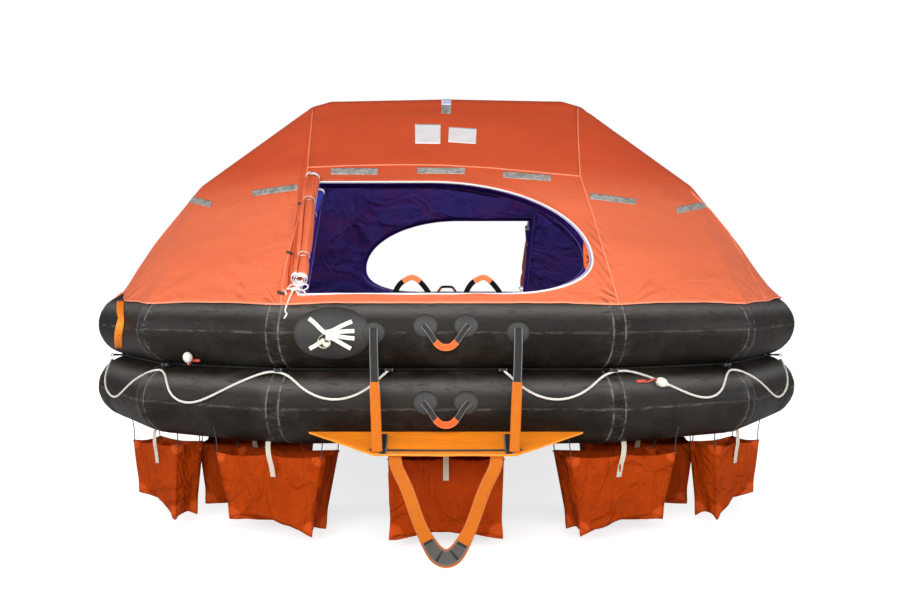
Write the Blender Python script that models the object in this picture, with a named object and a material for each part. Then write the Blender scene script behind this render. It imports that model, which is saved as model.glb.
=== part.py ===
"""Inflatable life raft for thirty-five people, in metres.

Two stacked buoyancy tubes form a twelve-sided ring. A canopy on two arch tubes covers it, with an
inner liner and an entrance at each end. Ballast pockets hang below.
Z is up, zero is the waterline, and the front entrance faces -Y.
"""

import math

import bmesh
import bpy
from mathutils import Matrix, Vector

# Buoyancy ring, measured on the tubes' centreline
TUBE_RADIUS = 0.19
LOWER_TUBE_Z = 0.09
FRONT_HALF = 0.81
SHOULDER_LENGTH = 0.80
QUARTER_LENGTH = 0.91
SIDE_HALF = 1.18
TUBE_SIDES = 24
GAP = 0.0003
UPPER_TUBE_Z = LOWER_TUBE_Z + 2 * TUBE_RADIUS + GAP

# Inflated floor
FLOOR_TOP = 0.02
FLOOR_BOTTOM = -0.06

# Strip in the groove between the tubes, with tabs that hold the lifelines
BAND_INNER = 0.0492
BAND_OUTER = 0.072
BAND_INNER_HALF = 0.0061
BAND_OUTER_HALF = 0.0150
TAB_REACH = 0.100
TAB_HALF = 0.025
TAB_TAPER = 0.005

# Lifelines
ROPE_RADIUS = 0.006
ROPE_SAG = 0.14
ROPE_CLEARANCE = 0.0025
ROPE_STEPS = 8
LINE_END_X = 0.285
SIDE_ANCHOR_Y = 0.39
QUARTER_ANCHOR_BACK = 0.06

# Canopy and arches: half of the arch outline in X and Z, from the middle of the roof to the hem
CANOPY_THICKNESS = 0.006
HEM_ANGLE = math.radians(45)
ARCH_Y = 0.95
ARCH_RADIUS = 0.10
ARCH_SIDES = 16
ARCH_CENTRE_OFFSET = ARCH_RADIUS + CANOPY_THICKNESS + GAP
BREAK_Y = ARCH_Y + 0.040
ROOF_MIDDLE = (0.0, 1.905)
ROOF_EDGE = (0.74, 1.890)
ROOF_CORNER = (0.86, 1.855)
ARCH_KNEE = (1.57, 1.345)
ARCH_SHIN = (1.86, 0.985)
ARCH_FOOT_DEPTH = 0.03
PANEL_ROWS = 3
SEAM_INSET = 0.0004

# Inner liner
LINER_THICKNESS = 0.004
LINER_HEM_ANGLE = math.radians(150)
LINER_BREAK_Y = 0.90
LINER_MIDDLE = (0.0, 1.665)
LINER_CORNER = (0.78, 1.640)
LINER_KNEE = (1.36, 1.170)

# Entrance, in X and Z on the front wall
ENTRANCE_LEFT = -0.743
ENTRANCE_BOTTOM = 0.655
ENTRANCE_TOP = 1.30
ENTRANCE_RIGHT = 0.767
ENTRANCE_WAIST_Z = 0.86
ENTRANCE_TOP_CENTRE_X = -0.10
ENTRANCE_BOTTOM_CENTRE_X = 0.25
ENTRANCE_BOTTOM_POWER = 2.3
ENTRANCE_BOTTOM_STEPS = 6
ENTRANCE_TOP_STEPS = 9
ENTRANCE_CUT_Y = (3.0, 1.2)

# Rolled doors beside the entrance
DOOR_ROLL_RADIUS = 0.040
DOOR_ROLL_FOOT = (-0.737, 0.700)
DOOR_ROLL_HEAD = (-0.760, 1.280)
LINER_ROLL_RADIUS = 0.028
LINER_ROLL_X = -0.735
LINER_ROLL_Z = (0.735, 1.265)
ROLL_CLEARANCE = 0.0014
ROLL_SIDES = 12

# Boarding ramp, its straps and its stirrup
RAMP_SEAT_ANGLE = math.radians(-35)
RAMP_SEAT_GAP = 0.001
RAMP_ROOT = 0.13
RAMP_INNER_HALF = 0.705
RAMP_OUTER_HALF = 0.325
RAMP_OUTER_Y = -2.90
RAMP_OUTER_Z = -0.075
RAMP_THICKNESS = 0.012
STRAP_TOP_X = 0.356
STRAP_BOTTOM_X = 0.318
STRAP_BOTTOM_Y = -2.88
STRAP_WIDTH = 0.045
STRAP_FOOT_GAP = 0.0015
WEBBING = 0.003
STIRRUP_Y = -2.880
STIRRUP_THICKNESS = 0.004
STIRRUP_TOP_GAP = 0.0012
STIRRUP_LEG_X = 0.236
STIRRUP_KNEE = (0.224, 0.06)
STIRRUP_SHIN = (0.106, -0.415)
STIRRUP_TURN = (0.078, -0.490)
STIRRUP_TOE = (0.0406, -0.542)
STIRRUP_BOTTOM_Z = -0.562
STIRRUP_LEG_HALF = 0.030
STIRRUP_TURN_HALF = 0.034
STIRRUP_BOTTOM_HALF = 0.043

# Handles, their outlines given as shares of half the width and of the height
PAD_RADIUS = 0.060
PAD_PROUD = 0.004
PAD_DEPTH = 0.035
PAD_RISE = 0.035
STRAP_PAD_RADIUS = 0.055
GRIP_OUTLINE = [(1.0, 0.15, -0.2), (0.86, -0.25, 0.5), (0.45, -0.85, 0.95), (0.0, -1.0, 1.0)]
GRIP_RISE = 0.025
GRIP_SINK = 0.002
GRIP_HALF = 0.100
GRIP_DROP = 0.095
GRIP_WIDTH = 0.032
GRIP_STAND_OFF = 0.030
BOARDING_OUTLINE = [(-1.0, 0.0), (-0.62, 0.72), (-0.30, 1.0), (0.30, 1.0), (0.62, 0.72), (1.0, 0.0)]
BOARDING_GRIP_LIFT = 0.0018
BOARDING_GRIPS = (-0.175, 0.189)
BOARDING_GRIP_HALF = 0.088
BOARDING_GRIP_HEIGHT = 0.082
BOARDING_STRIP_HALF = 0.32
REAR_GRIP_HALF = 0.085
REAR_GRIP_HEIGHT = 0.046
REAR_STRIP_HALF = 0.13
STRIP_THICKNESS = 0.004

# Small float bulbs: angle round the tube, and share of the way along the front shoulder
BULB_RADIUS = 0.033
BULB_SEAT = 0.020
BULB_SEGMENTS = (14, 9)
LEFT_BULB = (math.radians(-41), 0.655)
RIGHT_BULB = (math.radians(35), 0.277)

# Ballast pockets, and the corner posts and outer strap that each hangs from
POCKET_WALL = 0.004
POCKET_POST = 0.014
POCKET_STRAP = 0.026
POCKET_STRAP_PROUD = 0.002
POCKET_STRAP_DEPTH = 0.012
POCKET_STRAP_LAP = 0.115
POCKET_POST_LAP = 0.035
POCKET_POST_PROUD = 0.0015
POST_TOP = 0.05

# Each pocket's place, turn, size at the rim, levels of rim and bottom, and how far it narrows
MIDDLE_POCKET = ((0.0, 2.368), 0, (0.58, 0.27), (-0.150, -0.545), 0.95)
SHOULDER_POCKET = ((0.870, 2.277), math.radians(15), (0.58, 0.25), (-0.150, -0.545), 0.76)
QUARTER_POCKET = ((1.545, 1.870), math.radians(35), (0.36, 0.19), (-0.150, -0.545), 0.80)
INNER_POCKET = ((1.085, 1.66), 0, (0.62, 0.26), (-0.175, -0.560), 0.86)
FLOOR_CUT = (1.6, 2.1, 0.3)

COLOURS = {
    "tube_rubber": ((0.028, 0.027, 0.025), 0.62, 0.0),
    "canopy_fabric": ((0.73, 0.11, 0.03), 0.75, 0.0),
    "liner_fabric": ((0.045, 0.017, 0.155), 0.8, 0.0),
    "pocket_fabric": ((0.55, 0.06, 0.006), 0.7, 0.0),
    "orange_webbing": ((0.90, 0.20, 0.01), 0.7, 0.0),
    "black_webbing": ((0.015, 0.015, 0.016), 0.7, 0.0),
    "white_rope": ((0.62, 0.60, 0.55), 0.8, 0.0),
    "white_plastic": ((0.75, 0.73, 0.66), 0.4, 0.0),
}


def clear_scene():
    for thing in list(bpy.data.objects):
        bpy.data.objects.remove(thing, do_unlink=True)


def paint(thing, kind):
    """Give an object a material of its own."""
    colour, roughness, metallic = COLOURS[kind]
    material = bpy.data.materials.new(f"{thing.name}_{kind}")
    material.use_nodes = True
    shader = material.node_tree.nodes["Principled BSDF"]
    shader.inputs["Base Color"].default_value = (*colour, 1.0)
    shader.inputs["Roughness"].default_value = roughness
    shader.inputs["Metallic"].default_value = metallic
    thing.data.materials.clear()
    thing.data.materials.append(material)


def solid(name, points, faces, kind):
    """Object with one closed body, its faces pointing out."""
    shape = bmesh.new()
    corners = [shape.verts.new(point) for point in points]
    for face in faces:
        shape.faces.new([corners[index] for index in face])
    bmesh.ops.recalc_face_normals(shape, faces=shape.faces)
    mesh = bpy.data.meshes.new(name)
    shape.to_mesh(mesh)
    shape.free()
    mesh.shade_smooth()
    mesh.set_sharp_from_angle(angle=math.radians(35))
    thing = bpy.data.objects.new(name, mesh)
    bpy.context.collection.objects.link(thing)
    paint(thing, kind)
    return thing


def loft(name, rings, kind, closed=False):
    """Solid through rings with the same number of points."""
    size = len(rings[0])
    count = len(rings)
    points = [point for ring in rings for point in ring]
    faces = []
    for index in range(count if closed else count - 1):
        here = index * size
        there = (index + 1) % count * size
        for side in range(size):
            turn = (side + 1) % size
            faces.append((here + side, here + turn, there + turn, there + side))
    if not closed:
        faces.append(tuple(range(size)))
        faces.append(tuple((count - 1) * size + side for side in range(size)))
    return solid(name, points, faces, kind)


def combine(thing, tools, operation, keep_tools=False):
    """Join or cut a solid with others, and keep the result as its mesh."""
    for tool in tools:
        modifier = thing.modifiers.new(tool.name, "BOOLEAN")
        modifier.operation = operation
        modifier.object = tool
    bpy.context.view_layer.update()
    depsgraph = bpy.context.evaluated_depsgraph_get()
    mesh = bpy.data.meshes.new_from_object(thing.evaluated_get(depsgraph))
    thing.modifiers.clear()
    thing.data = mesh
    if not keep_tools:
        for tool in tools:
            bpy.data.objects.remove(tool, do_unlink=True)
    return thing


def turned_copy(thing, name, kind):
    """The same piece at the other end of the raft."""
    copy = bpy.data.objects.new(name, thing.data.copy())
    bpy.context.collection.objects.link(copy)
    copy.rotation_euler = (0.0, 0.0, math.pi)
    paint(copy, kind)
    return copy


def ring_corners(offset=0.0):
    """Corners of the ring's outline moved outward by an offset, anticlockwise from the front right."""
    shoulder = math.radians(30)
    quarter = math.radians(60)
    second_x = FRONT_HALF + SHOULDER_LENGTH * math.cos(shoulder)
    third_x = second_x + QUARTER_LENGTH * math.cos(quarter)
    second_y = SIDE_HALF + QUARTER_LENGTH * math.sin(quarter)
    first_y = second_y + SHOULDER_LENGTH * math.sin(shoulder)
    side = [(FRONT_HALF, -first_y), (second_x, -second_y), (third_x, -SIDE_HALF)]
    half = side + [(x, -y) for x, y in reversed(side)]
    outline = [Vector(point) for point in half]
    outline += [Vector((-point[0], -point[1])) for point in half]
    moved = []
    for index, corner in enumerate(outline):
        before = (corner - outline[index - 1]).normalized()
        after = (outline[(index + 1) % len(outline)] - corner).normalized()
        out_before = Vector((before.y, -before.x))
        out_after = Vector((after.y, -after.x))
        moved.append(corner + (out_before + out_after) * offset / (1 + out_before.dot(out_after)))
    return moved


CORNERS = ring_corners()
RING_LENGTH = sum((CORNERS[(i + 1) % 12] - CORNERS[i]).length for i in range(12))
FRONT_Y = CORNERS[0].y
CORNER_AT = [
    sum((CORNERS[(i + 1) % 12] - CORNERS[i]).length for i in range(stop)) for stop in range(12)
]


def ring_point(distance, offset):
    """Point beside the ring's centreline, at a distance along it from the front right corner."""
    distance %= RING_LENGTH
    for index in range(12):
        if abs(distance - CORNER_AT[index]) < 1e-5:
            return ring_corners(offset)[index]
    index = max(i for i in range(12) if CORNER_AT[i] < distance)
    along = (CORNERS[(index + 1) % 12] - CORNERS[index]).normalized()
    outward = Vector((along.y, -along.x))
    return CORNERS[index] + along * (distance - CORNER_AT[index]) + outward * offset


def ring_tube(name, centre_z, radius, kind):
    """Closed tube along the ring, mitred at its twelve corners."""
    sections = []
    for side in range(TUBE_SIDES):
        angle = 2 * math.pi * side / TUBE_SIDES
        level = centre_z + radius * math.sin(angle)
        corners = ring_corners(radius * math.cos(angle))
        sections.append([Vector((corner.x, corner.y, level)) for corner in corners])
    rings = [[section[index] for section in sections] for index in range(12)]
    return loft(name, rings, kind, closed=True)


def cutter(name, centre_z):
    """Tube a little larger than the real one, used to seat pieces against it."""
    tool = ring_tube(name, centre_z, TUBE_RADIUS + GAP, "tube_rubber")
    tool.hide_render = True
    tool.display_type = "WIRE"
    return tool


def flank_reach(drop):
    """Half width of a tube at a height below its centreline, on its flat facets."""
    step = 2 * math.pi / TUBE_SIDES
    index = int(math.asin(drop / TUBE_RADIUS) / step)
    upper, lower = index * step, (index + 1) * step
    share = (drop / TUBE_RADIUS - math.sin(upper)) / (math.sin(lower) - math.sin(upper))
    return TUBE_RADIUS * (math.cos(upper) + share * (math.cos(lower) - math.cos(upper)))


def floor():
    outline = ring_corners(-flank_reach(LOWER_TUBE_Z - FLOOR_TOP) - GAP)
    rings = [[Vector((p.x, p.y, level)) for p in outline] for level in (FLOOR_BOTTOM, FLOOR_TOP)]
    loft("floor", rings, "tube_rubber")


def anchor_distances(side):
    """Places of one side's lifeline anchors along the ring, from the front to the rear."""
    front_end = RING_LENGTH - FRONT_HALF + LINE_END_X
    places = [
        front_end - RING_LENGTH,
        CORNER_AT[0],
        CORNER_AT[1] - QUARTER_ANCHOR_BACK,
        CORNER_AT[2],
        CORNER_AT[2] + SIDE_HALF - SIDE_ANCHOR_Y,
    ]
    middle = CORNER_AT[2] + SIDE_HALF
    places += [2 * middle - place for place in reversed(places)]
    if side < 0:
        places = [-2 * FRONT_HALF - place for place in places]
    return places


def joint_band():
    """Strip between the tubes with a tab at each anchor."""
    level = LOWER_TUBE_Z + TUBE_RADIUS + GAP / 2
    stations = {round(place, 5): BAND_OUTER for place in CORNER_AT}
    for side in (1, -1):
        for place in anchor_distances(side):
            place %= RING_LENGTH
            for corner in CORNER_AT:
                if abs(place - corner) < 1e-4:
                    stations[round(corner, 5)] = TAB_REACH
            for reach, step in ((TAB_REACH, TAB_HALF), (BAND_OUTER, TAB_HALF + TAB_TAPER)):
                for sign in (1, -1):
                    stations[round((place + sign * step) % RING_LENGTH, 5)] = reach
    rings = []
    for distance, reach in sorted(stations.items()):
        inner = ring_point(distance, BAND_INNER)
        outer = ring_point(distance, reach)
        rings.append([
            Vector((inner.x, inner.y, level - BAND_INNER_HALF)),
            Vector((outer.x, outer.y, level - BAND_OUTER_HALF)),
            Vector((outer.x, outer.y, level + BAND_OUTER_HALF)),
            Vector((inner.x, inner.y, level + BAND_INNER_HALF)),
        ])
    loft("tube_joint_band", rings, "tube_rubber", closed=True)


def lifeline(name, side):
    """Rope looped from anchor to anchor round one side of the raft."""
    anchors = anchor_distances(side)
    level = LOWER_TUBE_Z + TUBE_RADIUS + GAP / 2
    at_tab = TAB_REACH + ROPE_RADIUS + GAP
    lie = TUBE_RADIUS + ROPE_RADIUS + ROPE_CLEARANCE
    route = []
    for start, stop in zip(anchors, anchors[1:]):
        places = {start + (stop - start) * step / ROPE_STEPS for step in range(ROPE_STEPS)}
        for turn in (-1, 0, 1):
            for corner in CORNER_AT:
                corner += turn * RING_LENGTH
                if min(start, stop) + 0.02 < corner < max(start, stop) - 0.02:
                    places.add(corner)
        ordered = sorted(places, reverse=stop < start)
        for place in ordered:
            share = (place - start) / (stop - start)
            height = level - ROPE_SAG * 4 * share * (1 - share)
            reach = max(at_tab, math.sqrt(max(0.0, lie ** 2 - (height - LOWER_TUBE_Z) ** 2)))
            route.append((ring_point(place, reach), height))
    route.append((ring_point(anchors[-1], at_tab), level))
    data = bpy.data.curves.new(name, "CURVE")
    data.dimensions = "3D"
    data.bevel_depth = ROPE_RADIUS
    data.bevel_resolution = 2
    data.use_fill_caps = True
    spline = data.splines.new("POLY")
    spline.points.add(len(route) - 1)
    for point, (place, height) in zip(spline.points, route):
        point.co = (place.x, place.y, height, 1.0)
    thing = bpy.data.objects.new(name, data)
    bpy.context.collection.objects.link(thing)
    paint(thing, "white_rope")


def line_fractions(line):
    """Share of a line's length at each of its points."""
    lengths = [0.0]
    for before, after in zip(line, line[1:]):
        lengths.append(lengths[-1] + (after - before).length)
    return [length / lengths[-1] for length in lengths]


def at_fraction(line, share):
    """Point at a share of a line's length."""
    shares = line_fractions(line)
    for index in range(len(line) - 1):
        if share <= shares[index + 1] + 1e-9:
            local = (share - shares[index]) / (shares[index + 1] - shares[index])
            return line[index].lerp(line[index + 1], min(1.0, max(0.0, local)))
    return line[-1]


def stretched(lower, upper, rows):
    """Triangles of a sheet stretched between two lines with the same number of points."""
    faces = []
    for row in range(rows):
        for index in range(len(lower) - 1):
            face = []
            for column, step in ((index, row), (index + 1, row), (index + 1, row + 1), (index, row + 1)):
                point = lower[column].lerp(upper[column], step / rows)
                if all((point - other).length > 1e-5 for other in face):
                    face.append(point)
            if len(face) == 4:
                faces += [face[:3], [face[0], face[2], face[3]]]
            elif len(face) == 3:
                faces.append(face)
    return faces


def face_normal(face):
    normal = Vector((0, 0, 0))
    for index, point in enumerate(face):
        after = face[(index + 1) % len(face)]
        normal += point.cross(after)
    return normal


def sheet_solids(panels, thickness, kind):
    """Solids of even thickness from panels whose edges meet, with a hair's gap at each seam."""
    middle = Vector((0, 0, UPPER_TUBE_Z))

    def key(point):
        return tuple(round(value, 4) for value in point)

    normals = {}
    for faces in panels.values():
        for face in faces:
            centre = sum(face, Vector()) / len(face)
            if face_normal([point - centre for point in face]).dot(centre - middle) < 0:
                face.reverse()
            normal = face_normal([point - centre for point in face])
            for point in face:
                normals[key(point)] = normals.get(key(point), Vector()) + normal
    made = {}
    for name, faces in panels.items():
        places = {}
        for face in faces:
            for point in face:
                places.setdefault(key(point), (len(places), point))
        edges = {}
        for face in faces:
            loop = [places[key(point)][0] for point in face]
            normal = face_normal([point - face[0] for point in face]).normalized()
            for index, start in enumerate(loop):
                stop = loop[(index + 1) % len(loop)]
                along = (face[(index + 1) % len(face)] - face[index]).normalized()
                edges[start, stop] = normal.cross(along)
        border = {edge: inward for edge, inward in edges.items() if edge[::-1] not in edges}
        shift = {}
        for (start, stop), inward in border.items():
            shift.setdefault(start, []).append(inward)
            shift.setdefault(stop, []).append(inward)
        outer = []
        inner = []
        for spot, (index, point) in places.items():
            move = Vector()
            if index in shift:
                first, second = shift[index]
                move = (first + second) * SEAM_INSET / max(0.3, 1 + first.dot(second))
            outer.append(point + move)
            inner.append(point + move - normals[spot].normalized() * thickness)
        count = len(outer)
        loops = [[places[key(point)][0] for point in face] for face in faces]
        skin = [tuple(loop) for loop in loops]
        skin += [tuple(count + index for index in reversed(loop)) for loop in loops]
        skin += [(stop, start, count + start, count + stop) for start, stop in border]
        made[name] = solid(name, outer + inner, skin, kind)
    return made


def hem_line(offset, level, end_y, side, front):
    """One corner's hem, from the front wall's seam to the arch foot."""
    corners = ring_corners(offset)[:3]
    line = [Vector((side * p.x, front * -p.y, level)) for p in corners]
    return line + [Vector((line[-1].x, front * end_y, level))]


def arch_line(profile, y, side):
    return [Vector((side * x, y, z)) for x, z in profile]


def tent_panels(profile, top, hem_offset, hem_level, break_y, rows):
    """Faces of the roof, sides, end walls and corners of a tent over the ring."""
    panels = {}
    foot = (ring_corners(hem_offset)[2].x, hem_level)
    leg = [top[-1]] + profile + [foot]
    across = [(-x, z) for x, z in reversed(top[1:])] + top
    crown = {front: [Vector((x, front * break_y, z)) for x, z in across] for front in (1, -1)}
    panels["roof"] = stretched(crown[-1], crown[1], 1)
    for side in (1, -1):
        lines = {}
        for front in (1, -1):
            hem = hem_line(hem_offset, hem_level, break_y, side, front)
            arch = arch_line(leg, front * break_y, side)
            shares = sorted({round(share, 5) for share in line_fractions(hem) + line_fractions(arch)})
            lower = [at_fraction(hem, share) for share in shares]
            upper = [at_fraction(arch, share) for share in shares]
            panels["corner", side, front] = stretched(lower, upper, rows)
            lines[front] = upper
        panels["side", side] = stretched(lines[-1], lines[1], 1)
    seam_x = ring_corners(hem_offset)[0].x
    for front in (1, -1):
        y = front * -ring_corners(hem_offset)[0].y
        lower = [Vector((x / across[-1][0] * seam_x, y, hem_level)) for x, _ in across]
        panels["end", front] = stretched(lower, crown[front], rows)
    return panels


def hem_place(angle, extra):
    """Offset and height of a hem on the upper tube, at an angle from the tube's outer side."""
    reach = TUBE_RADIUS + GAP + extra
    return reach * math.cos(angle), UPPER_TUBE_Z + reach * math.sin(angle)


CANOPY_HEM = hem_place(HEM_ANGLE, CANOPY_THICKNESS + 0.0005)
LINER_HEM = hem_place(LINER_HEM_ANGLE, 0.0)
CANOPY_TOP = [ROOF_MIDDLE, ROOF_EDGE, ROOF_CORNER]
CANOPY_LEG = [ARCH_KNEE, ARCH_SHIN]


def entrance_outline():
    """Points of the entrance in X and Z: straight at the left, round at the right."""
    points = [(ENTRANCE_LEFT, ENTRANCE_BOTTOM)]
    power = 2 / ENTRANCE_BOTTOM_POWER
    quarter = math.radians(90)
    for step in range(ENTRANCE_BOTTOM_STEPS + 1):
        angle = quarter * (1 - step / ENTRANCE_BOTTOM_STEPS)
        x = (ENTRANCE_RIGHT - ENTRANCE_BOTTOM_CENTRE_X) * math.cos(angle) ** power
        z = (ENTRANCE_WAIST_Z - ENTRANCE_BOTTOM) * max(0.0, math.sin(angle)) ** power
        points.append((ENTRANCE_BOTTOM_CENTRE_X + x, ENTRANCE_WAIST_Z - z))
    for step in range(1, ENTRANCE_TOP_STEPS + 1):
        angle = quarter * step / ENTRANCE_TOP_STEPS
        x = (ENTRANCE_RIGHT - ENTRANCE_TOP_CENTRE_X) * math.cos(angle)
        z = (ENTRANCE_TOP - ENTRANCE_WAIST_Z) * math.sin(angle)
        points.append((ENTRANCE_TOP_CENTRE_X + x, ENTRANCE_WAIST_Z + z))
    points.append((ENTRANCE_LEFT, ENTRANCE_TOP))
    return points


def entrance_cutter(front):
    """Prism that cuts one entrance. The rear one is the front one turned half round."""
    rings = [[Vector((-front * x, front * y, z)) for x, z in entrance_outline()] for y in ENTRANCE_CUT_Y]
    return loft("entrance_cutter", rings, "canopy_fabric")


def canopy():
    panels = tent_panels(CANOPY_LEG, CANOPY_TOP, *CANOPY_HEM, BREAK_Y, PANEL_ROWS)
    names = {"roof": "canopy_roof"}
    for side, hand in ((1, "right"), (-1, "left")):
        names["side", side] = f"canopy_side_{hand}"
        for front, end in ((-1, "front"), (1, "rear")):
            names["corner", side, front] = f"canopy_{end}_{hand}"
            names["end", front] = f"canopy_{end}_wall"
    made = sheet_solids({names[part]: panels[part] for part in panels}, CANOPY_THICKNESS, "canopy_fabric")
    for front, end in ((-1, "front"), (1, "rear")):
        combine(made[f"canopy_{end}_wall"], [entrance_cutter(front)], "DIFFERENCE")


def liner():
    panels = tent_panels([LINER_KNEE], [LINER_MIDDLE, LINER_CORNER], *LINER_HEM, LINER_BREAK_Y, PANEL_ROWS)
    joined = {"liner_roof": panels["roof"] + panels["side", 1] + panels["side", -1]}
    for front, end in ((-1, "front"), (1, "rear")):
        faces = panels["end", front] + panels["corner", 1, front] + panels["corner", -1, front]
        joined[f"liner_{end}"] = faces
    made = sheet_solids(joined, LINER_THICKNESS, "liner_fabric")
    for front, end in ((-1, "front"), (1, "rear")):
        combine(made[f"liner_{end}"], [entrance_cutter(front)], "DIFFERENCE")


def arch(name, y, tube_tool):
    """Arch tube under the canopy, its feet shaped to the upper tube."""
    foot = (ring_corners(CANOPY_HEM[0])[2].x, CANOPY_HEM[1])
    half = CANOPY_TOP + CANOPY_LEG + [foot]
    down = (Vector(foot) - Vector(ARCH_SHIN)).normalized()
    half[-1] = tuple(Vector(foot) + down * ARCH_FOOT_DEPTH)
    line = [Vector((-x, z)) for x, z in reversed(half[1:])] + [Vector(point) for point in half]
    rings = []
    for index, point in enumerate(line):
        before = (point - line[index - 1]).normalized() if index else None
        after = (line[index + 1] - point).normalized() if index + 1 < len(line) else before
        before = before or after
        out_before = Vector((-before.y, before.x))
        out_after = Vector((-after.y, after.x))
        outward = (out_before + out_after) / (1 + out_before.dot(out_after))
        ring = []
        for side in range(ARCH_SIDES):
            angle = 2 * math.pi * side / ARCH_SIDES
            reach = ARCH_RADIUS * math.cos(angle) - ARCH_CENTRE_OFFSET
            spot = point + outward * reach
            ring.append(Vector((spot.x, y + ARCH_RADIUS * math.sin(angle), spot.y)))
        rings.append(ring)
    thing = loft(name, rings, "tube_rubber")
    combine(thing, [tube_tool], "DIFFERENCE", keep_tools=True)


def rod(name, start, stop, radius, kind):
    """Round bar between two points."""
    along = (stop - start).normalized()
    aside = along.cross(Vector((1, 0, 0))).normalized()
    other = along.cross(aside)
    rings = []
    for centre in (start, stop):
        ring = []
        for side in range(ROLL_SIDES):
            angle = 2 * math.pi * (side + 0.5) / ROLL_SIDES
            ring.append(centre + aside * radius * math.cos(angle) + other * radius * math.sin(angle))
        rings.append(ring)
    return loft(name, rings, kind)


def wall_place(x, level, lift):
    """Point off the front wall's outer face, at a height on the wall, lifted along its normal."""
    share_x = abs(x) / ROOF_CORNER[0]
    edge_share = ROOF_EDGE[0] / ROOF_CORNER[0]
    local = (share_x - edge_share) / (1 - edge_share)
    top_z = ROOF_EDGE[1] + (ROOF_CORNER[1] - ROOF_EDGE[1]) * max(0.0, local)
    hem_y = ring_corners(CANOPY_HEM[0])[0].y
    rise = Vector((-BREAK_Y - hem_y, top_z - CANOPY_HEM[1])).normalized()
    y = hem_y + (level - CANOPY_HEM[1]) * rise.x / rise.y
    return Vector((x, y - rise.y * lift, level + rise.x * lift))


def rolled_doors():
    """Outer door and liner door, each rolled up beside the entrance's straight edge."""
    lift = DOOR_ROLL_RADIUS * math.cos(math.pi / ROLL_SIDES) + ROLL_CLEARANCE
    ends = [wall_place(x, level, lift) for x, level in (DOOR_ROLL_FOOT, DOOR_ROLL_HEAD)]
    roll = rod("door_roll_front", *ends, DOOR_ROLL_RADIUS, "canopy_fabric")
    turned_copy(roll, "door_roll_rear", "canopy_fabric")
    overhang = ENTRANCE_LEFT - LINER_ROLL_X
    lift = -CANOPY_THICKNESS - math.sqrt(LINER_ROLL_RADIUS ** 2 - overhang ** 2) - ROLL_CLEARANCE
    ends = [wall_place(LINER_ROLL_X, level, lift) for level in LINER_ROLL_Z]
    roll = rod("liner_roll_front", *ends, LINER_ROLL_RADIUS, "liner_fabric")
    turned_copy(roll, "liner_roll_rear", "liner_fabric")


def ribbon(name, stations, thickness, kind):
    """Webbing through stations of a centre, a half-width vector and a face normal."""
    rings = []
    for centre, reach, normal in stations:
        lift = normal.normalized() * thickness / 2
        rings.append([centre - reach - lift, centre + reach - lift, centre + reach + lift,
                      centre - reach + lift])
    return loft(name, rings, kind)


def front_pad(name, x, level, radius, kind):
    """Round patch with a flat face, to be cut to the front of a tube."""
    face = FRONT_Y - TUBE_RADIUS - PAD_PROUD
    back = face + PAD_DEPTH
    centres = [Vector((x, y, level)) for y in (face, back)]
    rings = []
    for centre in centres:
        ring = []
        for side in range(ROLL_SIDES):
            angle = 2 * math.pi * side / ROLL_SIDES
            ring.append(centre + Vector((radius * math.cos(angle), 0, radius * math.sin(angle))))
        rings.append(ring)
    return loft(name, rings, kind)


def ramp_top(y):
    """Height of the ramp's upper face."""
    reach = TUBE_RADIUS + RAMP_SEAT_GAP
    inner_y = FRONT_Y - reach * math.cos(RAMP_SEAT_ANGLE)
    inner_z = LOWER_TUBE_Z + reach * math.sin(RAMP_SEAT_ANGLE)
    share = (y - inner_y) / (RAMP_OUTER_Y - inner_y)
    return inner_z + (RAMP_OUTER_Z - inner_z) * share


def ramp(tube_tool):
    """Sloping boarding ramp against the lower tube."""
    rings = []
    for y, half in ((FRONT_Y - RAMP_ROOT, RAMP_INNER_HALF), (RAMP_OUTER_Y, RAMP_OUTER_HALF)):
        top = ramp_top(y)
        rings.append([
            Vector((-half, y, top - RAMP_THICKNESS)), Vector((half, y, top - RAMP_THICKNESS)),
            Vector((half, y, top)), Vector((-half, y, top)),
        ])
    thing = loft("ramp_front", rings, "orange_webbing")
    combine(thing, [tube_tool], "DIFFERENCE", keep_tools=True)
    turned_copy(thing, "ramp_rear", "orange_webbing")


def ramp_straps(tube_tool):
    """Straps from patches on the upper tube to the ramp's outer corners."""
    for side, hand in ((-1, "left"), (1, "right")):
        name = f"ramp_strap_front_{hand}"
        top = Vector((side * STRAP_TOP_X, FRONT_Y - TUBE_RADIUS - PAD_PROUD, UPPER_TUBE_Z))
        bottom = Vector((side * STRAP_BOTTOM_X, STRAP_BOTTOM_Y, ramp_top(STRAP_BOTTOM_Y) + STRAP_FOOT_GAP))
        along = (bottom - top).normalized()
        normal = along.cross(Vector((1, 0, 0))).normalized()
        reach = Vector((STRAP_WIDTH / 2, 0, 0))
        stations = [(top, reach, normal), (bottom, reach, normal)]
        strap = ribbon(name, stations, WEBBING, "orange_webbing")
        pad = front_pad("pad", side * STRAP_TOP_X, UPPER_TUBE_Z, STRAP_PAD_RADIUS, "tube_rubber")
        combine(strap, [pad], "UNION")
        combine(strap, [tube_tool], "DIFFERENCE", keep_tools=True)
        other = "right" if side < 0 else "left"
        turned_copy(strap, f"ramp_strap_rear_{other}", "orange_webbing")


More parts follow.
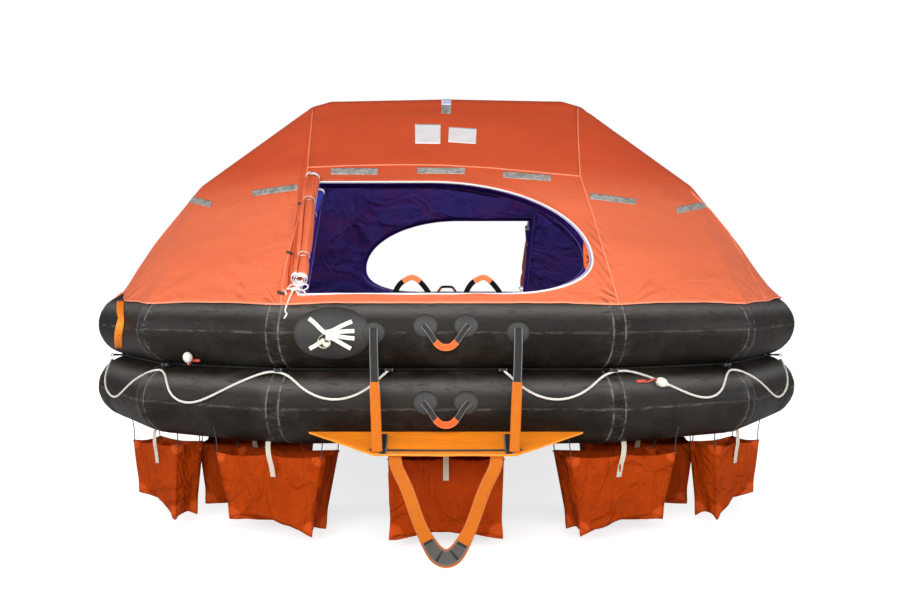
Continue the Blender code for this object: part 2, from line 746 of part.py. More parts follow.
def stirrup():
    """Foot loop of flat webbing below the ramp's outer edge."""
    top_z = ramp_top(STIRRUP_Y) - RAMP_THICKNESS - STIRRUP_TOP_GAP
    knee_x, knee_drop = STIRRUP_KNEE
    half = [
        (STIRRUP_LEG_X, top_z, STIRRUP_LEG_HALF, (-1, 0)),
        (knee_x, top_z - knee_drop, STIRRUP_LEG_HALF, (-1, 0.25)),
        (*STIRRUP_SHIN, STIRRUP_LEG_HALF, (-1, 0.40)),
        (*STIRRUP_TURN, STIRRUP_TURN_HALF, (-1, 0.75)),
        (*STIRRUP_TOE, STIRRUP_BOTTOM_HALF, (-0.45, 1)),
    ]
    outline = [(-x, z, reach, (-across[0], across[1])) for x, z, reach, across in half]
    outline.append((0.0, STIRRUP_BOTTOM_Z, STIRRUP_BOTTOM_HALF, (0, 1)))
    outline += reversed(half)
    stations = []
    for x, z, reach, across in outline:
        flat = Vector((across[0], 0, across[1])).normalized() * reach
        stations.append((Vector((x, STIRRUP_Y, z)), flat, Vector((0, -1, 0))))
    thing = ribbon("stirrup_front", stations, STIRRUP_THICKNESS, "orange_webbing")
    turned_copy(thing, "stirrup_rear", "orange_webbing")


def grab_handle(name, level, tube_tool):
    """Hanging grip between two patches on the front of a tube."""
    face = FRONT_Y - TUBE_RADIUS - PAD_PROUD
    spots = [(-x, z, out) for x, z, out in GRIP_OUTLINE[:-1]] + GRIP_OUTLINE[::-1]
    centres = []
    for x, z, out in spots:
        y = face - out * GRIP_STAND_OFF + GRIP_SINK
        centres.append(Vector((x * GRIP_HALF, y, level + GRIP_RISE + z * GRIP_DROP)))
    stations = []
    for index, centre in enumerate(centres):
        before = centres[max(0, index - 1)]
        after = centres[min(len(centres) - 1, index + 1)]
        along = Vector((after.x - before.x, 0, after.z - before.z)).normalized()
        across = Vector((-along.z, 0, along.x)) * GRIP_WIDTH / 2
        stations.append((centre, across, Vector((0, -1, 0))))
    grip = ribbon(name, stations, WEBBING, "black_webbing")
    pads = []
    for side in (-1, 1):
        pads.append(front_pad("pad", side * GRIP_HALF, level + PAD_RISE, PAD_RADIUS, "tube_rubber"))
    combine(grip, pads, "UNION")
    combine(grip, [tube_tool], "DIFFERENCE", keep_tools=True)
    turned_copy(grip, name.replace("front", "rear"), "black_webbing")


def boarding_handles(name, centres, half, height, strip_half, end):
    """Upright grips inside an entrance, on a strip along the upper tube's top."""
    quarter = math.radians(90)
    facet = 2 * math.pi / TUBE_SIDES

    def place(x, angle, reach):
        across = FRONT_Y - reach * math.cos(angle)
        return Vector((-end * x, -end * across, UPPER_TUBE_Z + reach * math.sin(angle)))

    under = TUBE_RADIUS + GAP
    over = TUBE_RADIUS + STRIP_THICKNESS
    rings = []
    for x in (-strip_half, strip_half):
        rings.append([place(x, quarter, under), place(x, quarter + facet, under),
                      place(x, quarter + facet, over), place(x, quarter, over)])
    strip = loft(name, rings, "black_webbing")
    grips = []
    lean = quarter + facet / 2
    for centre in centres:
        stations = []
        spots = [(centre + x * half, z * height + BOARDING_GRIP_LIFT) for x, z in BOARDING_OUTLINE]
        for index, (x, z) in enumerate(spots):
            before = spots[max(0, index - 1)]
            after = spots[min(len(spots) - 1, index + 1)]
            along = Vector((after[0] - before[0], after[1] - before[1])).normalized()
            side = Vector((-end, 0, 0)) * -along.y
            rise = Vector((0, 0, along.x))
            flat = (side + rise) * GRIP_WIDTH / 2
            if index in (0, len(spots) - 1):
                flat = Vector((end if index == 0 else -end, 0, 0)) * GRIP_WIDTH / 2
            stations.append((place(x, lean, TUBE_RADIUS + z), flat, Vector((0, -1, 0))))
        grips.append(ribbon("grip", stations, WEBBING, "black_webbing"))
    combine(strip, grips, "UNION")


def bulb(name, side, tube_z, seat, tube_tool):
    """Small float, seated on a tube's flank beside the front shoulder."""
    angle, share = seat
    start, stop = CORNERS[0], CORNERS[1]
    run = (stop - start).normalized()
    outward = Vector((run.y, -run.x))
    reach = TUBE_RADIUS + BULB_SEAT
    spot = start + (stop - start) * share + outward * reach * math.cos(angle)
    centre = Vector((side * spot.x, spot.y, tube_z + reach * math.sin(angle)))
    shape = bmesh.new()
    across, along = BULB_SEGMENTS
    bmesh.ops.create_uvsphere(shape, u_segments=across, v_segments=along, radius=BULB_RADIUS)
    bmesh.ops.transform(shape, matrix=Matrix.Translation(centre), verts=shape.verts)
    mesh = bpy.data.meshes.new(name)
    shape.to_mesh(mesh)
    shape.free()
    mesh.shade_smooth()
    thing = bpy.data.objects.new(name, mesh)
    bpy.context.collection.objects.link(thing)
    paint(thing, "white_plastic")
    combine(thing, [tube_tool], "DIFFERENCE", keep_tools=True)


def box(name, low, high, kind):
    corners = [(low[0], low[1]), (high[0], low[1]), (high[0], high[1]), (low[0], high[1])]
    rings = [[Vector((x, y, level)) for x, y in corners] for level in (low[2], high[2])]
    return loft(name, rings, kind)


def pocket(name, plan, side, front, top_tool):
    """Open-topped ballast bag with its hanging straps, cut to what it hangs from."""
    place, turn, size, levels, narrow = plan
    place = (side * place[0], front * place[1])
    turn = side * front * -turn + (math.pi if front > 0 else 0.0)
    half_x, half_y = size[0] / 2, size[1] / 2
    top, bottom = levels

    def rim(shrink, level, taper):
        x = half_x * taper - shrink
        y = half_y * taper - shrink
        return [Vector((-x, -y, level)), Vector((x, -y, level)), Vector((x, y, level)),
                Vector((-x, y, level))]

    floor_z = bottom + POCKET_WALL
    rings = [rim(POCKET_WALL, floor_z, narrow), rim(POCKET_WALL, top, 1.0), rim(0, top, 1.0),
             rim(0, bottom, narrow)]
    bag = loft(name, rings, "pocket_fabric")
    straps = []
    for x, y in ((-1, -1), (1, -1), (1, 1), (-1, 1)):
        inset = POCKET_POST / 2 - POCKET_POST_PROUD
        corner = Vector((x * (half_x - inset), y * (half_y - inset), 0))
        reach = Vector((POCKET_POST / 2, POCKET_POST / 2, 0))
        low = corner - reach + Vector((0, 0, top - POCKET_POST_LAP))
        high = corner + reach + Vector((0, 0, POST_TOP))
        straps.append(box("post", low, high, "pocket_fabric"))
    face = -half_y - POCKET_STRAP_PROUD
    low = (-POCKET_STRAP / 2, face, top - POCKET_STRAP_LAP)
    high = (POCKET_STRAP / 2, face + POCKET_STRAP_DEPTH, POST_TOP)
    straps.append(box("strap", low, high, "pocket_fabric"))
    combine(bag, straps, "UNION")
    bag.data.transform(Matrix.Translation((*place, 0)) @ Matrix.Rotation(turn, 4, "Z"))
    combine(bag, [top_tool], "DIFFERENCE", keep_tools=True)


def pockets(tube_tool):
    """Fourteen ballast pockets: twelve under the ring or just inside it, and one at each end."""
    cut_x, cut_y, _ = FLOOR_CUT
    floor_tool = box("floor_cutter", (-cut_x, -cut_y, FLOOR_BOTTOM - GAP), FLOOR_CUT, "tube_rubber")
    floor_tool.hide_render = True
    floor_tool.display_type = "WIRE"
    for end, front in (("front", -1), ("rear", 1)):
        pocket(f"pocket_{end}_middle", MIDDLE_POCKET, 1, front, tube_tool)
        for hand, side in (("left", -1), ("right", 1)):
            pocket(f"pocket_{end}_{hand}", SHOULDER_POCKET, side, front, tube_tool)
            pocket(f"pocket_{end}_quarter_{hand}", QUARTER_POCKET, side, front, tube_tool)
            pocket(f"pocket_{end}_inner_{hand}", INNER_POCKET, side, front, floor_tool)


def main():
    clear_scene()
    lower_tool = cutter("lower_tube_cutter", LOWER_TUBE_Z)
    upper_tool = cutter("upper_tube_cutter", UPPER_TUBE_Z)
    ring_tube("lower_tube", LOWER_TUBE_Z, TUBE_RADIUS, "tube_rubber")
    ring_tube("upper_tube", UPPER_TUBE_Z, TUBE_RADIUS, "tube_rubber")
    floor()
    joint_band()
    lifeline("lifeline_right", 1)
    lifeline("lifeline_left", -1)
    arch("arch_front", -ARCH_Y, upper_tool)
    arch("arch_rear", ARCH_Y, upper_tool)
    canopy()
    liner()
    rolled_doors()
    ramp(lower_tool)
    ramp_straps(upper_tool)
    stirrup()
    grab_handle("grab_handle_upper_front", UPPER_TUBE_Z, upper_tool)
    grab_handle("grab_handle_lower_front", LOWER_TUBE_Z, lower_tool)
    boarding_handles("boarding_handles_front", BOARDING_GRIPS, BOARDING_GRIP_HALF,
                     BOARDING_GRIP_HEIGHT, BOARDING_STRIP_HALF, -1)
    boarding_handles("boarding_handle_rear", (0.0,), REAR_GRIP_HALF, REAR_GRIP_HEIGHT,
                     REAR_STRIP_HALF, 1)
    bulb("float_bulb_left", -1, UPPER_TUBE_Z, LEFT_BULB, upper_tool)
    bulb("float_bulb_right", 1, LOWER_TUBE_Z, RIGHT_BULB, lower_tool)
    pockets(lower_tool)


main()
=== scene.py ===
"""Looks of the inflatable life raft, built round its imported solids, in metres.

The file is laid out as an add-on: its properties hold the sizes and colours that a maker would change,
each operator makes one group of pieces, and the panel lists them in the order they run.
Z is up, zero is the waterline, and the front entrance faces -Y. The rear of the raft is the front turned
half round, so most pieces are made once for each end.
"""

import math

import bmesh
import bpy
import numpy as np
from mathutils import Matrix, Vector, noise
from mathutils.bvhtree import BVHTree

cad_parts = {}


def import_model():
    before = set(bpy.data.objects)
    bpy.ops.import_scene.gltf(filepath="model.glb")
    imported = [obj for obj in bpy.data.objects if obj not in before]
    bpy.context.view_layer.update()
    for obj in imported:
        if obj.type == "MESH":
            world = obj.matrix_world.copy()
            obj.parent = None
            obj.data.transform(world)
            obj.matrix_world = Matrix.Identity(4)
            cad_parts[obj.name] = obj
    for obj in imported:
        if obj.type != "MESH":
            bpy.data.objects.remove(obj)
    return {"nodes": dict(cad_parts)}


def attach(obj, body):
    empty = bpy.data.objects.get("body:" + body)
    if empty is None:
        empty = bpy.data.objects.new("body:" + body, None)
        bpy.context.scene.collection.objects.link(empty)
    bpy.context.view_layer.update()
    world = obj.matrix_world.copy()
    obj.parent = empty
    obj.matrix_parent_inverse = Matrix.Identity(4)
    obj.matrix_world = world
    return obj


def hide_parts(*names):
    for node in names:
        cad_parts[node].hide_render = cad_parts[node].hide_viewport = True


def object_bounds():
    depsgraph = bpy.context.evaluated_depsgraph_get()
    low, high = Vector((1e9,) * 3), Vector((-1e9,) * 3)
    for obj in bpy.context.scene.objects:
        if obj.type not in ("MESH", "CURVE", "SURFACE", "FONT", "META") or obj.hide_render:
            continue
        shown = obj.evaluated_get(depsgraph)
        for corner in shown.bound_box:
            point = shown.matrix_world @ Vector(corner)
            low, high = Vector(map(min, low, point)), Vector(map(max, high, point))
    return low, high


bl_info = {
    "name": "Life raft looks",
    "version": (1, 0, 0),
    "blender": (4, 5, 0),
    "location": "3D View > Sidebar > Life raft",
    "description": "Fabric, webbing, rope and rubber of a canopied inflatable life raft",
    "category": "Object",
}

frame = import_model()
CAD_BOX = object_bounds()

# Buoyancy ring and canopy, as in the part's own source
RING_SIDES = 12
TUBE_RADIUS = 0.19
LOWER_TUBE_Z = 0.09
UPPER_TUBE_Z = 0.4703
FRONT_HALF = 0.81
SHOULDER_LENGTH = 0.80
QUARTER_LENGTH = 0.91
SIDE_HALF = 1.18
ANCHOR_Z = 0.28015
TAB_REACH = 0.100
# Drop of each bight and how far its lowest place leans back towards its start, from the front end
LEFT_BIGHTS = ((0.140, 0.0), (0.185, -0.20), (0.220, -0.10))
RIGHT_BIGHTS = ((0.140, 0.0), (0.160, -0.24), (0.220, -0.10))
SIDE_BIGHTS = ((0.140, 0.05), (0.150, 0.0), (0.140, -0.05))
LINE_END_X = 0.285
SIDE_ANCHOR_Y = 0.39
QUARTER_ANCHOR_BACK = 0.06
BREAK_Y = 0.99
CANOPY_TOP = [(0.0, 1.905), (0.74, 1.890), (0.86, 1.855)]
CANOPY_LEG = [(1.57, 1.345), (1.86, 0.985)]
LINER_BREAK_Y = 0.90
LINER_TOP = [(0.0, 1.665), (0.78, 1.640)]
LINER_LEG = [(1.36, 1.170)]
RAMP_SEAT_ANGLE = math.radians(-35)
RAMP_SEAT_REACH = 0.191
RAMP_EDGE_Y = -2.90
RAMP_EDGE_Z = -0.075
RAMP_INNER_HALF = 0.705
RAMP_OUTER_HALF = 0.325
FLOOR_BOTTOM = -0.060
CANOPY_LIFT = 0.1968
LINER_LIFT = 0.1903
CANOPY_ANGLE = math.radians(45)
LINER_ANGLE = math.radians(150)
CANOPY_HEM = (CANOPY_LIFT * math.cos(CANOPY_ANGLE), UPPER_TUBE_Z + CANOPY_LIFT * math.sin(CANOPY_ANGLE))
LINER_HEM = (LINER_LIFT * math.cos(LINER_ANGLE), UPPER_TUBE_Z + LINER_LIFT * math.sin(LINER_ANGLE))
ENTRANCE_LEFT = -0.743
ENTRANCE_BOTTOM = 0.655
ENTRANCE_TOP = 1.30
ENTRANCE_RIGHT = 0.767
ENTRANCE_WAIST_Z = 0.86
ENTRANCE_TOP_CENTRE_X = -0.10
ENTRANCE_BOTTOM_CENTRE_X = 0.25
ENTRANCE_BOTTOM_POWER = 2.3

# Photograph's frame and camera
IMAGE = (900, 596)
CAMERA_PLACE = (0.01, -7.83, 0.68)
FOCAL_PIXELS = 1072.0
PRINCIPAL = (448.0, 290.0)

# Factors that carry a place at the front to its twin at the rear
HALF_TURN = np.array((-1.0, -1.0, 1.0))


# Properties


class RaftSizes(bpy.types.PropertyGroup):
    """Sizes of the soft pieces."""

    rope_diameter: bpy.props.FloatProperty(
        name="Lifeline diameter", description="Thickness of the rope looped round the ring",
        default=0.012, min=0.008, max=0.014, unit="LENGTH")
    canopy_cloth: bpy.props.FloatProperty(
        name="Canopy cloth", description="Thickness of the coated canopy cloth",
        default=0.0025, min=0.001, max=0.004, unit="LENGTH")
    liner_cloth: bpy.props.FloatProperty(
        name="Liner cloth", description="Thickness of the inner liner",
        default=0.0015, min=0.0008, max=0.003, unit="LENGTH")
    piping_radius: bpy.props.FloatProperty(
        name="Piping radius", description="Radius of the white piping round each entrance",
        default=0.0052, min=0.003, max=0.012, unit="LENGTH")
    seam_radius: bpy.props.FloatProperty(
        name="Seam welt radius", description="Radius of the welt along the canopy's seams",
        default=0.0042, min=0.001, max=0.006, unit="LENGTH")
    stitch_spacing: bpy.props.FloatProperty(
        name="Stitch spacing", description="Distance between stitches along sewn edges",
        default=0.008, min=0.004, max=0.02, unit="LENGTH")
    pocket_sag: bpy.props.FloatProperty(
        name="Pocket rim sag", description="How far a pocket's rim hangs between its straps",
        default=0.012, min=0.0, max=0.05, unit="LENGTH")


class RaftColours(bpy.types.PropertyGroup):
    """Colours of the finishes."""

    canopy: bpy.props.FloatVectorProperty(
        name="Canopy", description="Orange of the canopy cloth", subtype="COLOR", size=3,
        default=(0.80, 0.125, 0.040), min=0, max=1)
    liner: bpy.props.FloatVectorProperty(
        name="Liner", description="Violet blue of the inner liner", subtype="COLOR", size=3,
        default=(0.092, 0.050, 0.330), min=0, max=1)
    tube: bpy.props.FloatVectorProperty(
        name="Tubes", description="Black of the rubberised tubes", subtype="COLOR", size=3,
        default=(0.0078, 0.0062, 0.0044), min=0, max=1)
    pocket: bpy.props.FloatVectorProperty(
        name="Ballast pockets", description="Deep orange of the pockets", subtype="COLOR", size=3,
        default=(0.375, 0.034, 0.0006), min=0, max=1)
    webbing: bpy.props.FloatVectorProperty(
        name="Orange webbing", description="Bright orange of ramp, straps and stirrup", subtype="COLOR",
        size=3, default=(0.585, 0.140, 0.0010), min=0, max=1)


def sizes():
    return bpy.context.scene.raft_sizes


def colours():
    return bpy.context.scene.raft_colours


# Mesh tools


class Build:
    """Mesh put together from rows of points, with its pattern coordinates in metres."""

    def __init__(self):
        self.points = []
        self.faces = []
        self.uvs = []
        self.kinds = []
        self.marks = {}

    def rows(self, rows, kind=0, ring=False, closed=False, caps=False, marks=None, uv=None):
        """Add a surface through rows of points. ring joins each row's ends, closed the first and last row."""
        rows = np.asarray(rows, float)
        count, width = rows.shape[:2]
        base = len(self.points)
        if uv is None:
            steps = np.linalg.norm(np.diff(rows, axis=0), axis=2).mean(axis=1)
            along = np.concatenate([[0.0], np.cumsum(steps), [np.sum(steps) + 0.02]])
            widest = rows[np.argmax(np.linalg.norm(np.diff(rows, axis=1), axis=2).sum(axis=1))]
            steps = np.linalg.norm(np.diff(widest, axis=0), axis=1)
            across = np.concatenate([[0.0], np.cumsum(steps)])
            across = np.append(across, across[-1] + np.linalg.norm(widest[0] - widest[-1]))
        else:
            along, across = uv
        self.points.extend(map(tuple, rows.reshape(-1, 3)))
        for name, values in (marks or {}).items():
            store = self.marks.setdefault(name, {})
            for index, value in enumerate(np.asarray(values, float).reshape(-1)):
                store[base + index] = float(value)
        for row in range(count if closed else count - 1):
            after = (row + 1) % count
            for side in range(width if ring else width - 1):
                turn = (side + 1) % width
                face = [base + row * width + side, base + row * width + turn,
                        base + after * width + turn, base + after * width + side]
                coordinates = [(along[row], across[side]), (along[row], across[side + 1]),
                               (along[row + 1], across[side + 1]), (along[row + 1], across[side])]
                self.faces.append(tuple(face))
                self.uvs.extend(coordinates)
                self.kinds.append(kind)
        if caps:
            for first, order in ((0, -1), ((count - 1) * width, 1)):
                face = [base + first + side for side in range(width)][::order]
                self.faces.append(tuple(face))
                self.uvs.extend([(0.0, across[index % width]) for index in range(width)])
                self.kinds.append(kind)

    def band(self, centres, reaches, normals, thickness, kind=0):
        """Add flat webbing along a line: each reach points from the middle to one edge."""
        rows, across = band_rows(centres, reaches, normals, thickness)
        self.rows(rows, kind=kind, ring=True, caps=True, marks={"across": across})

    def bar(self, path, radius, sides, kind=0, count=0):
        """Add a round bar with rounded tips, smoothed through count points where count is given."""
        line, radii = round_ends(smooth_path(path, count) if count else path, radius)
        self.rows(sweep(line, radii, sides), kind=kind, ring=True, caps=True)

    def loop(self, path, radius, sides, kind=0):
        """Add a round bar along a closed path."""
        self.rows(sweep_closed(np.array(path), radius, sides), kind=kind, ring=True, closed=True)

    def turned(self):
        """The same mesh at the other end of the raft."""
        other = Build()
        other.points = [(-x, -y, z) for x, y, z in self.points]
        other.faces, other.uvs, other.kinds = self.faces, self.uvs, self.kinds
        other.marks = self.marks
        return other

    def mesh(self, name, materials=(), outward=True):
        """Mesh with its pattern coordinates, marks and materials."""
        mesh = bpy.data.meshes.new(name)
        mesh.from_pydata(self.points, [], self.faces)
        layer = mesh.uv_layers.new(name="surface")
        layer.data.foreach_set("uv", np.asarray(self.uvs, np.float32).ravel())
        for mark, values in self.marks.items():
            attribute = mesh.attributes.new(mark, "FLOAT", "POINT")
            flat = np.zeros(len(self.points), np.float32)
            for index, value in values.items():
                flat[index] = value
            attribute.data.foreach_set("value", flat)
        for material in materials:
            mesh.materials.append(material)
        mesh.polygons.foreach_set("material_index", self.kinds)
        mesh.update()
        if outward:
            shape = bmesh.new()
            shape.from_mesh(mesh)
            bmesh.ops.remove_doubles(shape, verts=shape.verts, dist=1e-6)
            bmesh.ops.recalc_face_normals(shape, faces=shape.faces)
            shape.to_mesh(mesh)
            shape.free()
        return mesh

    def finish(self, name, materials, slot, replaces=(), wall=0.0, sharp=50.0):
        """Make the object, give it its materials and hang it on the frame. A wall makes a sheet a cloth."""
        mesh = self.mesh(name, materials, outward=not wall)
        mesh.shade_smooth()
        mesh.set_sharp_from_angle(angle=math.radians(sharp))
        thing = bpy.data.objects.new(name, mesh)
        bpy.context.scene.collection.objects.link(thing)
        if wall:
            give_wall(thing, wall)
        return hang(thing, slot, replaces)

    def finish_twins(self, name, materials, slot, node="", **options):
        """Finish the piece at the front and its twin at the rear. A # in a name stands for the end."""
        for end, form in (("front", self), ("rear", self.turned())):
            replaced = [node.replace("#", end)] if node else ()
            form.finish(name.replace("#", end), materials, slot, replaced, **options)


def give_wall(thing, wall):
    """Even thickness on a sheet, closed at its edges."""
    modifier = thing.modifiers.new("wall", "SOLIDIFY")
    modifier.thickness = wall
    modifier.offset = -1.0
    modifier.use_even_offset = False


def hang(thing, slot, replaces=()):
    """Put a finished piece on the frame."""
    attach(thing, "root")
    if replaces:
        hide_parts(*replaces)
    return thing


def unit(vector):
    """The vector at a length of one."""
    return vector / np.linalg.norm(vector)


def heading(path, index):
    """Direction of a path at one of its points."""
    return unit(path[min(len(path) - 1, index + 1)] - path[max(0, index - 1)])


def frames_along(path):
    """Tangents and two cross directions that don't twist along a path."""
    path = np.asarray(path, float)
    tangents = np.gradient(path, axis=0)
    tangents /= np.linalg.norm(tangents, axis=1)[:, None]
    first = np.cross(tangents[0], (0.0, 0.0, 1.0))
    if np.linalg.norm(first) < 0.1:
        first = np.cross(tangents[0], (0.0, 1.0, 0.0))
    sides = [first / np.linalg.norm(first)]
    for tangent in tangents[1:]:
        side = sides[-1] - tangent * np.dot(sides[-1], tangent)
        sides.append(side / np.linalg.norm(side))
    sides = np.array(sides)
    return tangents, sides, np.cross(tangents, sides)


def sweep(path, radius, sides=8, flat=1.0):
    """Rows of a round bar along a path. radius may be a number for each point."""
    path = np.asarray(path, float)
    _, first, second = frames_along(path)
    radius = np.broadcast_to(np.asarray(radius, float), (len(path),))
    angles = np.linspace(0, 2 * math.pi, sides, endpoint=False)
    ring = np.cos(angles)[None, :, None] * first[:, None, :]
    ring = ring + np.sin(angles)[None, :, None] * second[:, None, :] * flat
    return path[:, None, :] + ring * radius[:, None, None]


def round_ends(path, radius):
    """Path and radii that close a bar with rounded tips."""
    steps, reach = 3, math.pi / 2 * 0.94
    path = [np.asarray(p, float) for p in path]
    radii = [radius] * len(path)
    head = unit(path[1] - path[0])
    tail = unit(path[-1] - path[-2])
    for step in range(1, steps + 1):
        angle = reach * step / steps
        grow = radius * (math.sin(angle) - math.sin(angle - reach / steps))
        path = [path[0] - head * grow] + path + [path[-1] + tail * grow]
        radii = [radius * math.cos(angle)] + radii + [radius * math.cos(angle)]
    return np.array(path), np.array(radii)


def smooth_path(points, count, closed=False):
    """Smooth curve with an even step through a few points."""
    points = [np.asarray(p, float) for p in points]
    dense = []
    total = len(points)
    last = total if closed else total - 1
    for index in range(last):
        before = points[(index - 1) % total] if closed or index else points[0] * 2 - points[1]
        here, there = points[index], points[(index + 1) % total]
        after = points[(index + 2) % total] if closed or index + 2 < total else there * 2 - here
        for step in range(24):
            t = step / 24
            dense.append(0.5 * (2 * here + (there - before) * t
                                + (2 * before - 5 * here + 4 * there - after) * t ** 2
                                + (3 * here - before - 3 * there + after) * t ** 3))
    dense.append(points[0] if closed else points[-1])
    dense = np.array(dense)
    length = np.concatenate([[0.0], np.cumsum(np.linalg.norm(np.diff(dense, axis=0), axis=1))])
    wanted = np.linspace(0, length[-1], count)
    return np.stack([np.interp(wanted, length, dense[:, axis]) for axis in range(3)], axis=1)


def band_rows(centres, reaches, normals, thickness):
    """Rows of flat webbing with rounded edges, and the share across its width at each point."""
    profile = [(-0.93, -1), (-0.45, -1), (0.0, -1), (0.45, -1), (0.93, -1), (1.0, 0.0),
               (0.93, 1), (0.45, 1), (0.0, 1), (-0.45, 1), (-0.93, 1), (-1.0, 0.0)]
    rows = []
    for centre, reach, normal in zip(centres, reaches, normals):
        centre, reach = np.asarray(centre, float), np.asarray(reach, float)
        normal = unit(np.asarray(normal, float)) * thickness / 2
        rows.append([centre + reach * x + normal * z for x, z in profile])
    across = [[x for x, _ in profile]] * len(rows)
    return np.array(rows), np.array(across)


def steady(value):
    """Smooth step from 0 to 1."""
    value = min(1.0, max(0.0, value))
    return value * value * (3 - 2 * value)


def rough(point, scale, seed=0.0, octaves=3):
    """Smooth noise from -1 to 1."""
    spot = Vector(point) * scale + Vector((seed * 3.7, seed * 1.3, -seed * 2.1))
    return noise.fractal(spot, 0.9, 2.0, octaves) * 0.9


# The ring


def ring_frame():
    """Corners of the ring's centreline and, at each, the shift that one metre of offset gives."""
    shoulder, quarter = math.radians(30), math.radians(60)
    second_x = FRONT_HALF + SHOULDER_LENGTH * math.cos(shoulder)
    third_x = second_x + QUARTER_LENGTH * math.cos(quarter)
    second_y = SIDE_HALF + QUARTER_LENGTH * math.sin(quarter)
    first_y = second_y + SHOULDER_LENGTH * math.sin(shoulder)
    side = [(FRONT_HALF, -first_y), (second_x, -second_y), (third_x, -SIDE_HALF)]
    half = side + [(x, -y) for x, y in reversed(side)]
    outline = [Vector(p) for p in half] + [Vector((-p[0], -p[1])) for p in half]
    shifts = []
    for index, corner in enumerate(outline):
        before = (corner - outline[index - 1]).normalized()
        after = (outline[(index + 1) % RING_SIDES] - corner).normalized()
        out_before = Vector((before.y, -before.x))
        out_after = Vector((after.y, -after.x))
        shifts.append((out_before + out_after) / (1 + out_before.dot(out_after)))
    return np.array([tuple(p) for p in outline]), np.array([tuple(p) for p in shifts])


CORNERS, SHIFTS = ring_frame()
SIDES = [float(np.linalg.norm(CORNERS[(i + 1) % RING_SIDES] - CORNERS[i])) for i in range(RING_SIDES)]
CORNER_AT = [sum(SIDES[:i]) for i in range(RING_SIDES)]
RING_LENGTH = sum(SIDES)
FRONT_Y = float(CORNERS[0][1])


def ring_point(distance, offset):
    """Point beside the ring's centreline, at a distance along it from the front right corner."""
    distance %= RING_LENGTH
    for index in range(RING_SIDES):
        if abs(distance - CORNER_AT[index]) < 1e-5:
            return CORNERS[index] + SHIFTS[index] * offset
    index = max(i for i in range(RING_SIDES) if CORNER_AT[i] < distance)
    along = (CORNERS[(index + 1) % RING_SIDES] - CORNERS[index]) / SIDES[index]
    outward = np.array((along[1], -along[0]))
    return CORNERS[index] + along * (distance - CORNER_AT[index]) + outward * offset


def tube_spot(x, arc, level, lift=0.0):
    """Point on the straight front of a tube: across the raft, round its flank, off its face."""
    angle = arc / TUBE_RADIUS
    reach = TUBE_RADIUS + lift
    return np.array((x, FRONT_Y - reach * math.cos(angle), level + reach * math.sin(angle)))


def anchor_distances(side):
    """Places of one side's lifeline anchors along the ring, from the front to the rear."""
    places = [
        -FRONT_HALF + LINE_END_X,
        CORNER_AT[0],
        CORNER_AT[1] - QUARTER_ANCHOR_BACK,
        CORNER_AT[2],
        CORNER_AT[2] + SIDE_HALF - SIDE_ANCHOR_Y,
    ]
    middle = CORNER_AT[2] + SIDE_HALF
    places += [2 * middle - place for place in reversed(places)]
    if side < 0:
        places = [-2 * FRONT_HALF - place for place in places]
    return places


def photo_ray(px, py):
    """Start and direction of the line of sight through a pixel of the photograph."""
    way = Vector(((px - PRINCIPAL[0]) / FOCAL_PIXELS, 1.0, (PRINCIPAL[1] - py) / FOCAL_PIXELS))
    return Vector(CAMERA_PLACE), way.normalized()


# Materials


class Shades:
    """Short way to add nodes to a tree: values, or sockets to link, by input name or number."""

    def __init__(self, tree):
        self.tree = tree

    def add(self, kind, inputs=None, **settings):
        node = self.tree.nodes.new(kind)
        for key, value in settings.items():
            setattr(node, key, value)
        for key, value in (inputs or {}).items():
            self.put(node.inputs[key], value)
        return node

    def put(self, socket, value):
        if isinstance(value, bpy.types.NodeSocket):
            self.tree.links.new(value, socket)
        elif hasattr(value, "__len__") and len(value) == 3 and socket.type == "RGBA":
            socket.default_value = (*value, 1.0)
        else:
            socket.default_value = value

    def math(self, operation, a, b=0.0, clamp=False):
        node = self.add("ShaderNodeMath", {0: a, 1: b}, operation=operation, use_clamp=clamp)
        return node.outputs[0]

    def times(self, a, b, clamp=False):
        return self.math("MULTIPLY", a, b, clamp)

    def plus(self, a, b, clamp=False):
        return self.math("ADD", a, b, clamp)

    def sine(self, a):
        return self.math("SINE", a)

    def parts(self, vector):
        return self.add("ShaderNodeSeparateXYZ", {0: vector}).outputs

    def span(self, value, low, high, start=0.0, stop=1.0):
        inputs = {"Value": value, "From Min": low, "From Max": high, "To Min": start, "To Max": stop}
        return self.add("ShaderNodeMapRange", inputs, interpolation_type="SMOOTHSTEP").outputs[0]

    def mix(self, share, a, b):
        return self.add("ShaderNodeMix", {0: share, 6: a, 7: b}, data_type="RGBA").outputs[2]

    def noise(self, vector, scale, detail=4.0, roughness=0.55, distortion=0.0):
        inputs = {"Vector": vector, "Scale": scale, "Detail": detail, "Roughness": roughness,
                  "Distortion": distortion}
        return self.add("ShaderNodeTexNoise", inputs).outputs[0]

    def stretch(self, vector, scale, turn=(0.0, 0.0, 0.0)):
        inputs = {"Vector": vector, "Scale": scale, "Rotation": turn}
        return self.add("ShaderNodeMapping", inputs).outputs[0]

    def place(self):
        return self.add("ShaderNodeTexCoord").outputs["Object"]

    def surface(self):
        return self.add("ShaderNodeUVMap", uv_map="surface").outputs[0]

    def mark(self, name):
        return self.add("ShaderNodeAttribute", attribute_name=name).outputs["Fac"]

    def bump(self, height, distance, strength=1.0, below=None):
        inputs = {"Height": height, "Distance": distance, "Strength": strength}
        if below is not None:
            inputs["Normal"] = below
        return self.add("ShaderNodeBump", inputs).outputs[0]


